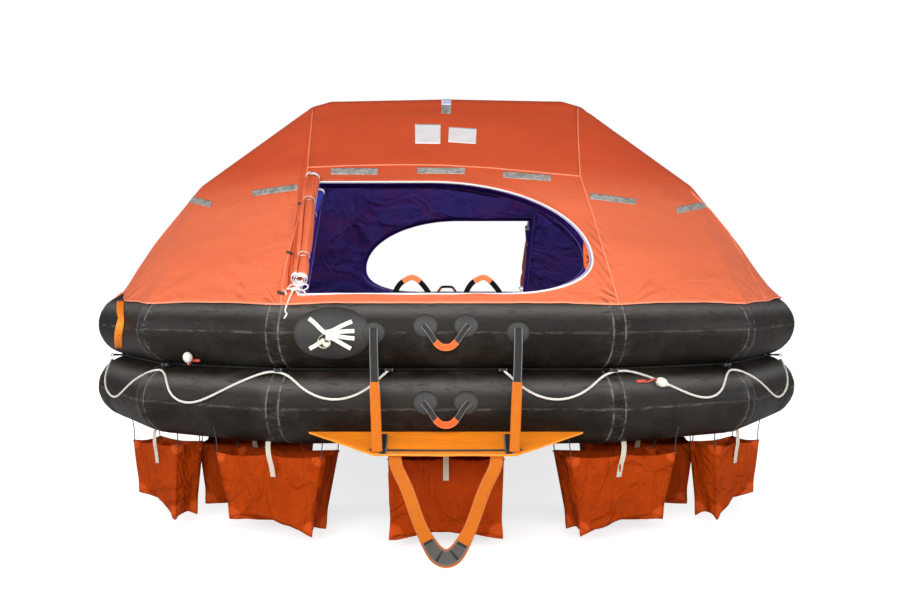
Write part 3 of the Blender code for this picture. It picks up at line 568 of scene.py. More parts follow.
def effect(name, inputs, outputs):
    """New shader node group with named inputs and outputs: the tree, its tools, its inputs and its end."""
    tree = bpy.data.node_groups.new(name, "ShaderNodeTree")
    for label, kind, value in inputs:
        socket = tree.interface.new_socket(name=label, in_out="INPUT", socket_type=kind)
        if value is not None:
            socket.default_value = value
    for label, kind in outputs:
        tree.interface.new_socket(name=label, in_out="OUTPUT", socket_type=kind)
    shades = Shades(tree)
    start = tree.nodes.new("NodeGroupInput")
    end = tree.nodes.new("NodeGroupOutput")
    return tree, shades, start.outputs, end.inputs


def weave_effect():
    """Plain weave: fine over and under threads in the piece's own pattern coordinates."""
    tree, s, given, end = effect(
        "weave", [("Vector", "NodeSocketVector", None), ("Thread", "NodeSocketFloat", 0.002)],
        [("Height", "NodeSocketFloat"), ("Gaps", "NodeSocketFloat")])
    parts = s.parts(given["Vector"])
    waves = []
    for axis in (0, 1):
        turns = s.math("DIVIDE", parts[axis], given["Thread"])
        waves.append(s.sine(s.times(turns, math.pi)))
    product = s.times(waves[0], waves[1])
    height = s.plus(s.times(product, 0.5), 0.5)
    s.put(end["Height"], height)
    # Gaps marks the low places between threads, where the webbing paints shade
    s.put(end["Gaps"], s.span(height, 0.25, 0.0))
    return tree


def grime_effect():
    """Patches of dust and rubbed places in object coordinates."""
    tree, s, given, end = effect(
        "grime", [("Vector", "NodeSocketVector", None), ("Scale", "NodeSocketFloat", 3.0),
                  ("Amount", "NodeSocketFloat", 0.5), ("Clean", "NodeSocketColor", (0.1, 0.1, 0.1, 1)),
                  ("Dust", "NodeSocketColor", (0.3, 0.28, 0.25, 1))],
        [("Color", "NodeSocketColor"), ("Mask", "NodeSocketFloat")])
    broad = s.noise(given["Vector"], given["Scale"], 5.0, 0.62, 0.4)
    fine = s.noise(given["Vector"], s.times(given["Scale"], 7.0), 4.0, 0.7, 0.8)
    mixed = s.plus(s.times(broad, 0.72), s.times(fine, 0.28))
    mask = s.times(s.span(mixed, 0.46, 0.68), given["Amount"], clamp=True)
    s.put(end["Color"], s.mix(mask, given["Clean"], given["Dust"]))
    s.put(end["Mask"], mask)
    return tree


def creases_effect():
    """Soft folds and fine creases of slack cloth, as a height."""
    tree, s, given, end = effect(
        "creases", [("Vector", "NodeSocketVector", None), ("Scale", "NodeSocketFloat", 4.0),
                    ("Sharpness", "NodeSocketFloat", 1.0)],
        [("Height", "NodeSocketFloat"), ("Lines", "NodeSocketFloat")])
    bend = s.noise(given["Vector"], given["Scale"], 3.0, 0.5, 0.0)
    waves = s.noise(given["Vector"], given["Scale"], 4.0, 0.55, 1.2)
    ridge = s.math("ABSOLUTE", s.math("SUBTRACT", waves, 0.5))
    lines = s.span(s.times(ridge, given["Sharpness"]), 0.0, 0.09, 1.0, 0.0)
    s.put(end["Height"], s.plus(s.times(bend, 0.7), s.times(lines, 0.3)))
    s.put(end["Lines"], lines)
    return tree


def fan_effect():
    """Folds that run out sideways from a place where the cloth is pulled. Side is 1 or -1."""
    tree, s, given, end = effect(
        "fan", [("Vector", "NodeSocketVector", None), ("Centre", "NodeSocketVector", (0.8, 0.0, 0.6)),
                ("Side", "NodeSocketFloat", 1.0), ("Count", "NodeSocketFloat", 16.0),
                ("Reach", "NodeSocketFloat", 0.5)],
        [("Height", "NodeSocketFloat")])
    ends = {0: given["Vector"], 1: given["Centre"]}
    away = s.add("ShaderNodeVectorMath", ends, operation="SUBTRACT").outputs[0]
    parts = s.parts(away)
    across = s.times(parts[0], given["Side"])
    far = s.math("POWER", s.plus(s.times(across, across), s.times(parts[2], parts[2])), 0.5)
    angle = s.math("ARCTAN2", parts[2], across)
    bend = s.times(s.noise(given["Vector"], 2.6, 2.0), 7.0)
    turns = s.plus(s.times(angle, given["Count"]), bend)
    wave = s.plus(s.times(s.sine(turns), 0.5), 0.5)
    fade = s.span(s.math("DIVIDE", far, given["Reach"]), 1.0, 0.25)
    fade = s.times(fade, s.span(far, 0.03, 0.12))
    fade = s.times(fade, s.span(across, 0.0, 0.04))
    fade = s.times(fade, s.span(angle, 1.05, 0.50))
    broken = s.span(s.noise(given["Vector"], 4.5, 2.0), 0.40, 0.56)
    s.put(end["Height"], s.times(s.times(wave, fade), broken))
    return tree


EFFECTS = {"fan": fan_effect, "weave": weave_effect, "grime": grime_effect, "creases": creases_effect}


def use(s, name, **values):
    """Place a shared effect in a material. Underscores in a keyword stand for spaces."""
    tree = bpy.data.node_groups.get(name) or EFFECTS[name]()
    node = s.tree.nodes.new("ShaderNodeGroup")
    node.node_tree = tree
    for key, value in values.items():
        s.put(node.inputs[key.replace("_", " ")], value)
    return node.outputs


def finish_of(name, roughness, build, **fixed):
    """New material: build(tools) returns its base colour, roughness or None, and normal or None."""
    made = bpy.data.materials.get(name)
    if made:
        return made
    made = bpy.data.materials.new(name)
    made.use_nodes = True
    tree = made.node_tree
    shader = tree.nodes["Principled BSDF"]
    shader.inputs["Roughness"].default_value = roughness
    for key, value in fixed.items():
        shader.inputs[key.replace("_", " ")].default_value = value
    s = Shades(tree)
    colour, rough_socket, normal = build(s)
    s.put(shader.inputs["Base Color"], colour)
    if rough_socket is not None:
        s.put(shader.inputs["Roughness"], rough_socket)
    if normal is not None:
        s.put(shader.inputs["Normal"], normal)
    return made


def tube_rubber():
    """Black rubberised cloth with dust, pale seam tapes at the mitres, a scuffed seam round the middle and a
    painted highlight along each tube's upper flank.
    """

    def build(s):
        place, surface = s.place(), s.surface()
        tube = tuple(colours().tube)
        dusty = use(s, "grime", Vector=place, Scale=2.6, Amount=0.50, Clean=tube, Dust=(0.043, 0.038, 0.033))
        brown = use(s, "grime", Vector=s.stretch(place, (1.0, 1.0, 3.5)), Scale=1.7, Amount=0.5,
                    Clean=dusty["Color"], Dust=(0.030, 0.020, 0.013))
        seam = s.mark("seam")
        tape = s.span(seam, 0.60, 0.64)
        line = s.times(tape, s.span(seam, 0.74, 0.68))
        rubbed = s.noise(place, 22.0, 4.0, 0.7)
        line = s.times(line, s.span(rubbed, 0.35, 0.62))
        round_seam = s.mark("middle")
        scuffs = s.noise(s.stretch(place, (1.0, 1.0, 5.0)), 9.0, 5.0, 0.75, 1.0)
        middle = s.times(s.span(round_seam, 0.90, 0.975), s.span(scuffs, 0.42, 0.66))
        # painted highlight: the crown mark lightens each tube's upper flank, broken up by the scuffs' noise
        top = s.times(s.mark("crown"), s.span(scuffs, 0.22, 0.52))
        chalk = s.times(s.span(seam, 0.10, 0.60), s.span(scuffs, 0.45, 0.70))
        pale = s.plus(s.times(line, 0.62), s.times(middle, 0.34))
        pale = s.plus(pale, s.times(chalk, 0.16))
        pale = s.plus(pale, s.times(top, 0.42), clamp=True)
        colour = s.mix(pale, brown["Color"], (0.185, 0.178, 0.168))
        roughness = s.span(dusty["Mask"], 0.0, 0.5, 0.46, 0.78)
        cloth = use(s, "weave", Vector=surface, Thread=0.0016)
        wrinkle = use(s, "creases", Vector=s.stretch(place, (1.0, 1.0, 2.0)), Scale=5.0, Sharpness=1.0)
        normal = s.bump(cloth["Height"], 0.0002, 0.35)
        normal = s.bump(wrinkle["Height"], 0.006, 0.35, normal)
        normal = s.bump(tape, 0.0012, 0.9, normal)
        normal = s.bump(s.span(round_seam, 0.93, 0.96), 0.0008, 0.7, normal)
        return colour, roughness, normal

    return finish_of("tube_rubber_aged", 0.6, build, Specular_IOR_Level=0.10)


CLOTH_FANS = [
    (-0.80, 0.575, -1.0, 25.0, 0.60, 1.0),
    (0.87, 0.575, 1.0, 27.0, 0.50, 0.55),
    (1.90, 0.57, -1.0, 21.0, 0.42, 0.55),
    (-1.95, 0.57, 1.0, 20.0, 0.45, 0.75),
    (0.93, 0.60, -1.0, 26.0, 0.40, 0.55),
    (-1.03, 1.30, 1.0, 14.0, 0.22, 0.6),
]


def canopy_cloth():
    """Coated orange cloth: its colour has random tone, painted shade that darkens it high up and painted
    light that brightens it low down, and folds where the hem and the seams pull it.
    """

    def build(s):
        place = s.place()
        base = tuple(colours().canopy)
        # deep is the painted shade colour of the cloth's upper part and also the blotches' colour; light is
        # the painted light colour of its lower part
        deep = tuple(c * k for c, k in zip(base, (0.76, 0.55, 0.42)))
        light = tuple(min(1.0, c * k) for c, k in zip(base, (0.98, 1.34, 1.8)))
        broad = s.noise(place, 0.9, 3.0, 0.5, 0.3)
        parts = s.parts(place)
        # low: painted light below the tapes and painted shade above them, set by height alone and mixed with
        # random tone
        low = s.span(parts[2], 1.47, 1.12)
        shade = s.plus(s.times(broad, 0.25), s.times(low, 0.80), clamp=True)
        colour = s.mix(shade, deep, light)
        blotch = s.noise(place, 14.0, 5.0, 0.65)
        colour = s.mix(s.span(blotch, 0.55, 0.80, 0.0, 0.16), colour, deep)
        front = s.span(parts[1], 0.05, -0.05, -1.0, 1.0)
        near_x, near_z = s.times(parts[0], front), parts[2]
        near = s.add("ShaderNodeCombineXYZ", {0: near_x, 2: near_z}).outputs[0]
        pulled = None
        for x, z, side, count, reach, share in CLOTH_FANS:
            one = use(s, "fan", Vector=near, Centre=(x, 0.0, z), Side=side, Count=count, Reach=reach)
            one = s.times(one["Height"], share)
            pulled = one if pulled is None else s.plus(pulled, one)
        lean = s.plus(s.times(near_x, 235.0), s.times(near_z, 17.0))
        hang = s.sine(s.plus(lean, s.times(s.noise(near, 3.0, 2.0), 9.0)))
        strip = s.times(s.span(near_x, -0.845, -0.815), s.span(near_x, -0.70, -0.74))
        strip = s.times(strip, s.times(s.span(near_z, 0.62, 0.68), s.span(near_z, 1.42, 1.25)))
        beside = s.times(s.plus(s.times(hang, 0.5), 0.5), strip)
        lean = s.plus(s.times(near_x, 120.0), s.times(near_z, 95.0))
        pucker = s.sine(s.plus(lean, s.times(s.noise(near, 5.0, 2.0), 11.0)))
        strip = s.times(s.span(near_x, 0.750, 0.780), s.span(near_x, 0.872, 0.835))
        strip = s.times(strip, s.times(s.span(near_z, 0.60, 0.68), s.span(near_z, 1.12, 0.95)))
        pucker = s.times(s.plus(s.times(pucker, 0.35), 0.35), strip)
        beside = s.plus(beside, pucker)
        folds = use(s, "creases", Vector=s.stretch(place, (1.0, 1.0, 2.6), (0.0, 0.5, 0.0)), Scale=3.2,
                    Sharpness=0.8)
        fine = s.noise(s.stretch(place, (1.2, 1.2, 9.0), (0.0, 0.42, 0.0)), 7.0, 3.0, 0.5, 0.2)
        taut = s.times(fine, s.span(s.noise(place, 1.3, 2.0), 0.45, 0.62))
        cloth = use(s, "weave", Vector=s.surface(), Thread=0.0012)
        slack = s.mark("slack")
        normal = s.bump(cloth["Height"], 0.00015, 0.3)
        normal = s.bump(taut, 0.005, 0.30, normal)
        normal = s.bump(s.times(folds["Height"], s.plus(0.18, slack)), 0.016, 0.5, normal)
        normal = s.bump(pulled, 0.016, 0.85, normal)
        normal = s.bump(beside, 0.010, 0.9, normal)
        return colour, s.span(blotch, 0.3, 0.8, 0.50, 0.64), normal

    return finish_of("canopy_cloth", 0.6, build, Specular_IOR_Level=0.20)


def liner_cloth():
    """Thin violet blue cloth with many soft creases, a painted highlight along the crease lines, painted
    shade on the tunnels and a painted warm glow where light comes through.
    """

    def build(s):
        place = s.place()
        base = tuple(colours().liner)
        glow = (base[0] * 2.3, base[1] * 1.0, base[2] * 0.80)
        colour = s.mix(s.span(s.noise(place, 1.6, 3.0, 0.6, 0.6), 0.38, 0.70), base, glow)
        folds = use(s, "creases", Vector=place, Scale=2.6, Sharpness=0.7)
        small = use(s, "creases", Vector=s.stretch(place, (1.0, 1.0, 0.6)), Scale=8.0, Sharpness=0.9)
        # painted highlight: the crease lines are lightened towards a paler violet
        colour = s.mix(s.times(folds["Lines"], 0.55), colour, (0.10, 0.085, 0.46))
        # painted shade: points marked 1.0 by slack are the tunnels' points, and their cloth is darkened a
        # little
        colour = s.mix(s.span(s.mark("slack"), 0.60, 0.90), colour, (base[0] * 0.95, base[1] * 0.6, base[2]))
        cloth = use(s, "weave", Vector=s.surface(), Thread=0.0012)
        normal = s.bump(cloth["Height"], 0.00015, 0.3)
        normal = s.bump(small["Height"], 0.010, 0.5, normal)
        normal = s.bump(folds["Height"], 0.060, 0.7, normal)
        return colour, None, normal

    return finish_of("liner_cloth", 0.9, build, Specular_IOR_Level=0.0)


def pocket_cloth():
    """Deep orange pocket cloth, crumpled, with doubled corners that look brighter."""

    def build(s):
        place = s.place()
        base = tuple(colours().pocket)
        light = tuple(min(1.0, c * k) for c, k in zip(base, (1.15, 1.5, 1.8)))
        dark = tuple(c * 0.62 for c in base)
        colour = s.mix(s.noise(place, 6.0, 4.0, 0.6, 0.8), dark, light)
        doubled = s.mark("doubled")
        colour = s.mix(s.times(s.span(doubled, 0.45, 0.55), 0.55), colour, (0.62, 0.085, 0.012))
        stain = s.noise(s.stretch(place, (1.0, 1.0, 0.35)), 18.0, 5.0, 0.7)
        colour = s.mix(s.span(stain, 0.58, 0.80, 0.0, 0.35), colour, (0.30, 0.035, 0.008))
        folds = use(s, "creases", Vector=s.stretch(place, (1.0, 1.0, 0.8)), Scale=4.5, Sharpness=0.8)
        fine = use(s, "creases", Vector=place, Scale=17.0, Sharpness=1.0)
        cloth = use(s, "weave", Vector=s.surface(), Thread=0.0012)
        normal = s.bump(cloth["Height"], 0.0002, 0.35)
        normal = s.bump(fine["Height"], 0.004, 0.45, normal)
        normal = s.bump(folds["Height"], 0.040, 0.75, normal)
        return colour, None, normal

    return finish_of("pocket_cloth", 0.65, build, Specular_IOR_Level=0.06)


def webbing(name, base, edge, shine=0.25):
    """Flat woven webbing with paler selvedge threads near both edges and painted shade in the gaps between
    its threads.
    """

    def build(s):
        place, surface = s.place(), s.surface()
        across = s.math("ABSOLUTE", s.mark("across"))
        band = s.times(s.span(across, 0.74, 0.80), s.span(across, 0.97, 0.91))
        colour = s.mix(s.noise(place, 30.0, 4.0, 0.6), tuple(c * 0.78 for c in base), base)
        colour = s.mix(s.times(band, 0.8), colour, edge)
        cloth = use(s, "weave", Vector=surface, Thread=0.0024)
        # painted shade: the gaps between the threads are darkened
        colour = s.mix(s.times(cloth["Gaps"], 0.45), colour, tuple(c * 0.45 for c in base))
        worn = s.noise(place, 7.0, 5.0, 0.7, 0.6)
        colour = s.mix(s.span(worn, 0.60, 0.78, 0.0, 0.25), colour, edge)
        normal = s.bump(cloth["Height"], 0.0006, 0.7)
        return colour, None, s.bump(s.noise(place, 11.0, 3.0), 0.004, 0.4, normal)

    return finish_of(name, 0.62, build, Specular_IOR_Level=shine)


def black_webbing():
    return webbing("woven_black", (0.020, 0.020, 0.021), (0.20, 0.20, 0.20))


def orange_webbing():
    base = tuple(colours().webbing)
    return webbing("woven_orange", base, tuple(c * k for c, k in zip(base, (0.85, 0.70, 0.7))))


def grip_sleeve():
    return webbing("grip_sleeve", (0.90, 0.125, 0.020), (0.95, 0.22, 0.06))


def cream_webbing():
    return webbing("cream_webbing", (0.56, 0.51, 0.42), (0.66, 0.62, 0.54))


def ramp_cloth():
    """Bright orange coated cloth of the ramp, with faint scuffs."""

    def build(s):
        place = s.place()
        base = tuple(min(1.0, c * k) for c, k in zip(colours().webbing, (1.64, 1.80, 1.20)))
        colour = s.mix(s.noise(place, 4.0, 4.0, 0.6), tuple(c * 0.90 for c in base), base)
        grey = use(s, "grime", Vector=place, Scale=7.0, Amount=0.22, Clean=colour, Dust=(0.52, 0.17, 0.03))
        folds = use(s, "creases", Vector=s.stretch(place, (0.5, 2.0, 2.0)), Scale=9.0, Sharpness=0.8)
        cloth = use(s, "weave", Vector=s.surface(), Thread=0.0016)
        normal = s.bump(cloth["Height"], 0.0003, 0.5)
        return grey["Color"], None, s.bump(folds["Height"], 0.008, 0.5, normal)

    return finish_of("ramp_cloth", 0.6, build)


def rope_lay():
    """White braided rope: strands cross at a slant along the rope's own length, with painted shade in the
    hollows between them.
    """

    def build(s):
        parts = s.parts(s.surface())
        strands = []
        for sign in (1.0, -1.0):
            lean = s.plus(s.times(parts[0], 420.0 * sign), s.times(parts[1], 333.0))
            strands.append(s.sine(lean))
        height = s.math("MAXIMUM", strands[0], strands[1])
        stain = s.noise(s.place(), 5.0, 5.0, 0.7, 0.5)
        colour = s.mix(s.span(stain, 0.48, 0.75, 0.0, 0.5), (0.72, 0.70, 0.64), (0.40, 0.38, 0.33))
        # painted shade: darker where the strands dip, in the hollows between them
        colour = s.mix(s.span(height, 0.35, -0.1, 0.0, 0.45), colour, (0.28, 0.26, 0.23))
        return colour, None, s.bump(height, 0.0010, 0.8)

    return finish_of("rope_lay", 0.78, build)


def pale_plastic():
    """Off-white moulded plastic with stains."""

    def build(s):
        place = s.place()
        dirt = use(s, "grime", Vector=place, Scale=12.0, Amount=0.6, Clean=(0.80, 0.76, 0.68),
                   Dust=(0.42, 0.36, 0.27))
        rough_share = s.span(dirt["Mask"], 0.0, 0.5, 0.32, 0.55)
        return dirt["Color"], rough_share, s.bump(s.noise(place, 60.0), 0.0008, 0.3)

    return finish_of("pale_plastic", 0.35, build)


def mottled(name, roughness, dark, light, patches, relief, bump):
    """Finish of two colours in patches, with a fine relief.

    patches holds the scale and detail of the colours' noise, relief gives the relief's height from the tools,
    and bump holds its depth and strength.
    """

    def build(s):
        return s.mix(s.noise(s.place(), *patches), dark, light), None, s.bump(relief(s), *bump)

    return finish_of(name, roughness, build)


def grain(scale):
    """Relief of fine grains."""
    return lambda s: s.noise(s.place(), scale, 2.0)


def crumples(scale, sharpness):
    """Relief of small creases."""
    return lambda s: use(s, "creases", Vector=s.place(), Scale=scale, Sharpness=sharpness)["Height"]


def ridges(along, across=0.0):
    """Relief of threads: how fast they follow each other along and across a cord."""

    def relief(s):
        parts = s.parts(s.surface())
        return s.sine(s.plus(s.times(parts[0], along), s.times(parts[1], across)))

    return relief


def piping_white():
    """White edge binding, faintly lilac, with sewn ridges."""
    return mottled("piping_white", 0.5, (0.80, 0.74, 0.76), (0.90, 0.87, 0.88), (9.0, 4.0),
                   ridges(900.0), (0.0004, 0.5))


def seam_welt():
    """Lighter orange welt of the canopy's seams, with its thread ridges."""
    return mottled("seam_welt", 0.55, (0.84, 0.21, 0.10), (0.92, 0.33, 0.20), (11.0, 3.0),
                   ridges(1100.0), (0.0004, 0.5))


def reflective_tape():
    """Grey reflective tape with a fine grid of cells, crumpled so that it glints, and with painted glints
    that lighten it along its creases.
    """

    def build(s):
        place, surface = s.place(), s.surface()
        cells = s.add("ShaderNodeTexVoronoi", {"Vector": surface, "Scale": 330.0}).outputs["Distance"]
        crumple = use(s, "creases", Vector=s.stretch(place, (0.8, 1.0, 1.4)), Scale=21.0, Sharpness=0.7)
        # painted glints: the tape is lightened along its crumple lines
        colour = s.mix(s.span(crumple["Lines"], 0.2, 0.9), (0.27, 0.25, 0.225), (0.47, 0.455, 0.43))
        marks = s.span(s.noise(place, 13.0, 4.0, 0.7), 0.5, 0.75, 0.0, 0.5)
        colour = s.mix(marks, colour, (0.27, 0.22, 0.17))
        normal = s.bump(cells, 0.0003, 0.3)
        return colour, None, s.bump(crumple["Height"], 0.005, 0.7, normal)

    return finish_of("reflective_tape", 0.5, build, Metallic=0.15)


def blank_patch():
    """White coated patch, left blank, with a worn surface."""

    def build(s):
        place = s.place()
        worn = use(s, "grime", Vector=place, Scale=16.0, Amount=0.35, Clean=(0.80, 0.77, 0.78),
                   Dust=(0.62, 0.50, 0.50))
        normal = s.bump(s.noise(place, 26.0, 3.0), 0.003, 0.4)
        return worn["Color"], None, normal

    return finish_of("blank_patch", 0.5, build)


def grip_cloth():
    return webbing("grip_cloth", (0.70, 0.19, 0.050), (0.80, 0.27, 0.10))


def dark_webbing():
    return webbing("dark_webbing", (0.004, 0.004, 0.004), (0.010, 0.010, 0.010), shine=0.05)


def bright_tape():
    """Upper part of the ridge tape, which catches the light and looks bluish white."""

    def build(s):
        place = s.place()
        crumple = use(s, "creases", Vector=place, Scale=20.0, Sharpness=0.7)
        colour = s.mix(s.span(crumple["Lines"], 0.2, 0.9), (0.50, 0.52, 0.86), (0.80, 0.81, 0.95))
        return colour, None, s.bump(crumple["Height"], 0.004, 0.6)

    return finish_of("bright_tape", 0.4, build)


def panel_webbing():
    return webbing("panel_webbing", (0.085, 0.080, 0.071), (0.13, 0.125, 0.11))


def cord_red():
    """Red plastic of clips and lanyards."""
    return mottled("cord_red", 0.45, (0.50, 0.045, 0.025), (0.72, 0.11, 0.06), (24.0, 4.0),
                   grain(160.0), (0.0006, 0.4))


def black_cord():
    """Thin black cord, toggles and clips."""
    return mottled("black_cord", 0.6, (0.012, 0.012, 0.013), (0.045, 0.043, 0.040), (18.0, 4.0),
                   ridges(1500.0, 1100.0), (0.0004, 0.6))


def thread():
    """Sewing thread."""
    return mottled("thread", 0.7, (0.30, 0.29, 0.27), (0.55, 0.53, 0.50), (90.0, 2.0),
                   grain(800.0), (0.0003, 0.5))


def deck_rubber():
    """Inflated floor: grey-black rubber with a diamond tread and dust."""

    def build(s):
        place = s.place()
        dusty = use(s, "grime", Vector=place, Scale=2.2, Amount=0.6, Clean=(0.030, 0.029, 0.028),
                    Dust=(0.11, 0.10, 0.09))
        turned = s.stretch(place, (1.0, 1.0, 1.0), (0.0, 0.0, math.radians(45)))
        tread = use(s, "weave", Vector=turned, Thread=0.055)
        normal = s.bump(tread["Height"], 0.006, 0.6)
        return dusty["Color"], None, s.bump(s.noise(place, 120.0, 3.0), 0.0006, 0.4, normal)

    return finish_of("deck_rubber", 0.68, build)


def floor_paper():
    """Pale studio floor with the faintest tooth, which fades to white away from the raft."""

    def build(s):
        grain = s.noise(s.place(), 40.0, 3.0)
        return s.mix(grain, (0.78, 0.78, 0.78), (0.82, 0.82, 0.82)), None, s.bump(grain, 0.0005, 0.1)

    made = finish_of("floor_paper", 0.9, build, Specular_IOR_Level=0.0)
    shader = made.node_tree.nodes["Principled BSDF"]
    shader.inputs["Emission Color"].default_value = (1.0, 1.0, 1.0, 1.0)
    s = Shades(made.node_tree)
    away = s.add("ShaderNodeVectorMath", {0: s.place()}, operation="LENGTH").outputs["Value"]
    seen = s.add("ShaderNodeLightPath").outputs["Is Camera Ray"]
    s.put(shader.inputs["Emission Strength"], s.times(seen, s.span(away, 2.2, 5.2, 0.72, 1.0)))
    return made


# Ring pieces


def segment_shares(length, step=0.045):
    """Shares along one side of the ring, closer together beside the mitres."""
    near = [0.0, 0.006, 0.014, 0.022, 0.030, 0.034, 0.038, 0.046, 0.060, 0.080]
    middle = np.linspace(0.105, length - 0.105, max(2, round((length - 0.21) / step)))
    places = near + list(middle) + [length - value for value in reversed(near)]
    return [place / length for place in places[:-1]]


def inflated_tube(name, level, node):
    """Tube of the ring: round, drawn in a little at each mitre, with shallow ripples."""
    sides = 72
    angles = np.linspace(-math.pi, math.pi, sides, endpoint=False)
    rows, seams, alongs = [], [], []
    for index in range(RING_SIDES):
        after = (index + 1) % RING_SIDES
        for share in segment_shares(SIDES[index]):
            row, seam = [], []
            for angle in angles:
                near = min(share, 1 - share) * SIDES[index]
                draw = 0.0042 * math.exp(-(near / 0.018) ** 2) + 0.0022 * math.exp(-(near / 0.09) ** 2)
                band = 0.0012 * steady((0.038 - near) / 0.004)
                offset = TUBE_RADIUS * math.cos(angle)
                start = CORNERS[index] + SHIFTS[index] * offset
                stop = CORNERS[after] + SHIFTS[after] * offset
                spot = start + (stop - start) * share
                place = (spot[0], spot[1], level + TUBE_RADIUS * math.sin(angle))
                ripple = 0.0016 * rough(place, 3.2, level) + 0.0010 * rough(place, 11.0, level)
                pucker = 0.0022 * math.exp(-(near / 0.07) ** 2) * rough(place, 26.0, level + 3)
                grow = ripple + pucker + band - draw
                away = unit(SHIFTS[index] * (1 - share) + SHIFTS[after] * share)
                spot = spot + away * grow * math.cos(angle)
                row.append((spot[0], spot[1], place[2] + grow * math.sin(angle)))
                reach = near * np.linalg.norm(stop - start) / SIDES[index]
                seam.append(1 - min(1.0, reach / 0.10))
            rows.append(row)
            seams.append(seam)
            alongs.append(CORNER_AT[index] + share * SIDES[index])
    count = len(rows)
    middle = np.broadcast_to(1 - np.minimum(1, np.abs(np.sin(angles)) * TUBE_RADIUS / 0.10) *
                             (np.cos(angles) > 0) - (np.cos(angles) <= 0), (count, sides))
    # crown marks each tube's upper flank, 37 degrees up its outer side, where the painted highlight goes
    crown = np.broadcast_to(np.exp(-((angles - math.radians(37)) / 0.20) ** 2), (count, sides))
    shape = Build()
    across = np.append(angles, math.pi) * TUBE_RADIUS
    shape.rows(rows, ring=True, closed=True, uv=(np.append(alongs, RING_LENGTH), across),
               marks={"seam": seams, "middle": middle, "crown": crown})
    return shape.finish(name, [tube_rubber()], "tube_rubber", [node], sharp=180)


def groove():
    """Dark strip deep between the tubes, with a rubber tab out to each rope anchor."""
    shape = Build()
    spots = []
    for index in range(RING_SIDES):
        count = max(4, int(SIDES[index] / 0.06))
        for step in range(count):
            spots.append(CORNER_AT[index] + SIDES[index] * step / count)
    section = [(0.036, -0.0030), (0.046, -0.0050), (0.052, -0.0060), (0.0555, -0.0030)]
    section += [(reach, -half) for reach, half in section[::-1]]
    rows = []
    for place in spots:
        row = []
        for reach, half in section:
            ripple = 0.0012 * rough((place * 3, reach * 9, half), 4.0, 51)
            row.append((*ring_point(place, reach + ripple), ANCHOR_Z + half))
        rows.append(row)
    shape.rows(rows, ring=True, closed=True)
    for side in (1, -1):
        for place in anchor_distances(side):
            inner, outer = ring_point(place, 0.050), ring_point(place, TAB_REACH)
            away = unit(outer - inner)
            across = np.array((-away[1], away[0], 0.0))
            path = [np.array((*(inner + (outer - inner) * share), ANCHOR_Z - 0.0005))
                    for share in np.linspace(0, 1, 9)]
            wide = [0.034 - 0.010 * steady(share / 0.9) for share in np.linspace(0, 1, 9)]
            shape.band(path, [across * half for half in wide], [(0, 0, 1)] * 9, 0.0075)
    shape.finish("groove_strip", [groove_rubber()], "tube_rubber", ["tube_joint_band"])


def groove_rubber():
    """Dark rubber of the strip between the tubes, dusty in places."""

    def build(s):
        place = s.place()
        dusty = use(s, "grime", Vector=place, Scale=12.0, Amount=0.5, Clean=(0.008, 0.008, 0.008),
                    Dust=(0.040, 0.037, 0.033))
        return dusty["Color"], None, s.bump(s.noise(place, 120.0, 3.0), 0.0008, 0.4)

    return finish_of("groove_rubber", 0.75, build, Specular_IOR_Level=0.15)


def rope_route(side):
    """Points of one side's lifeline: it hangs between anchors and lies on the lower tube's flank."""
    anchors = anchor_distances(side)
    radius = sizes().rope_diameter / 2
    at_tab = TAB_REACH + 0.0063
    lie = TUBE_RADIUS + radius + 0.0025
    route = []
    for number, (start, stop) in enumerate(zip(anchors, anchors[1:])):
        steps = 22
        span = abs(stop - start)
        ease = 0.030 / span
        from_end = min(number, 8 - number)
        if from_end > 2:
            sag, lean = SIDE_BIGHTS[number - 3]
        else:
            near = number < 4
            sag, lean = (LEFT_BIGHTS if (side < 0) == near else RIGHT_BIGHTS)[from_end]
            lean = lean if near else -lean
        for step in range(steps):
            share = step / steps
            moved = share + lean * 4 * share * (1 - share)
            drop = 4 * moved * (1 - moved)
            rise = steady(min(share, 1 - share) / (2 * ease))
            height = ANCHOR_Z - sag * drop * (0.35 + 0.65 * rise)
            reach = max(at_tab, math.sqrt(max(0.0, lie ** 2 - (height - LOWER_TUBE_Z) ** 2)))
            place = start + (stop - start) * share
            route.append((*ring_point(place, reach), height))
    route.append((*ring_point(anchors[-1], at_tab), ANCHOR_Z))
    route = np.array(route)
    for _ in range(3):
        route[1:-1] = route[1:-1] * 0.5 + (route[:-2] + route[2:]) * 0.25
    return route


def lifelines():
    """Two white ropes, one round each side of the raft, held at ten anchors each."""
    radius = sizes().rope_diameter / 2
    anchor_points = []
    for side, hand in ((1, "right"), (-1, "left")):
        path = rope_route(side)
        count = int(np.linalg.norm(np.diff(path, axis=0), axis=1).sum() / 0.022)
        path = smooth_path(path, count)
        shape = Build()
        shape.rows(sweep(path, radius, 10), ring=True, caps=True)
        rope = shape.finish(f"lifeline_{hand}_rope", [rope_lay()], "white_rope", [f"lifeline_{hand}"],
                            sharp=60)
        for distance in anchor_distances(side):
            inner = ring_point(distance, 0.0)
            outer = ring_point(distance, TAB_REACH)
            away = outer - inner
            anchor_points.append((Vector((*outer, ANCHOR_Z)), math.atan2(away[1], away[0])))
    anchor_loops(anchor_points, radius)


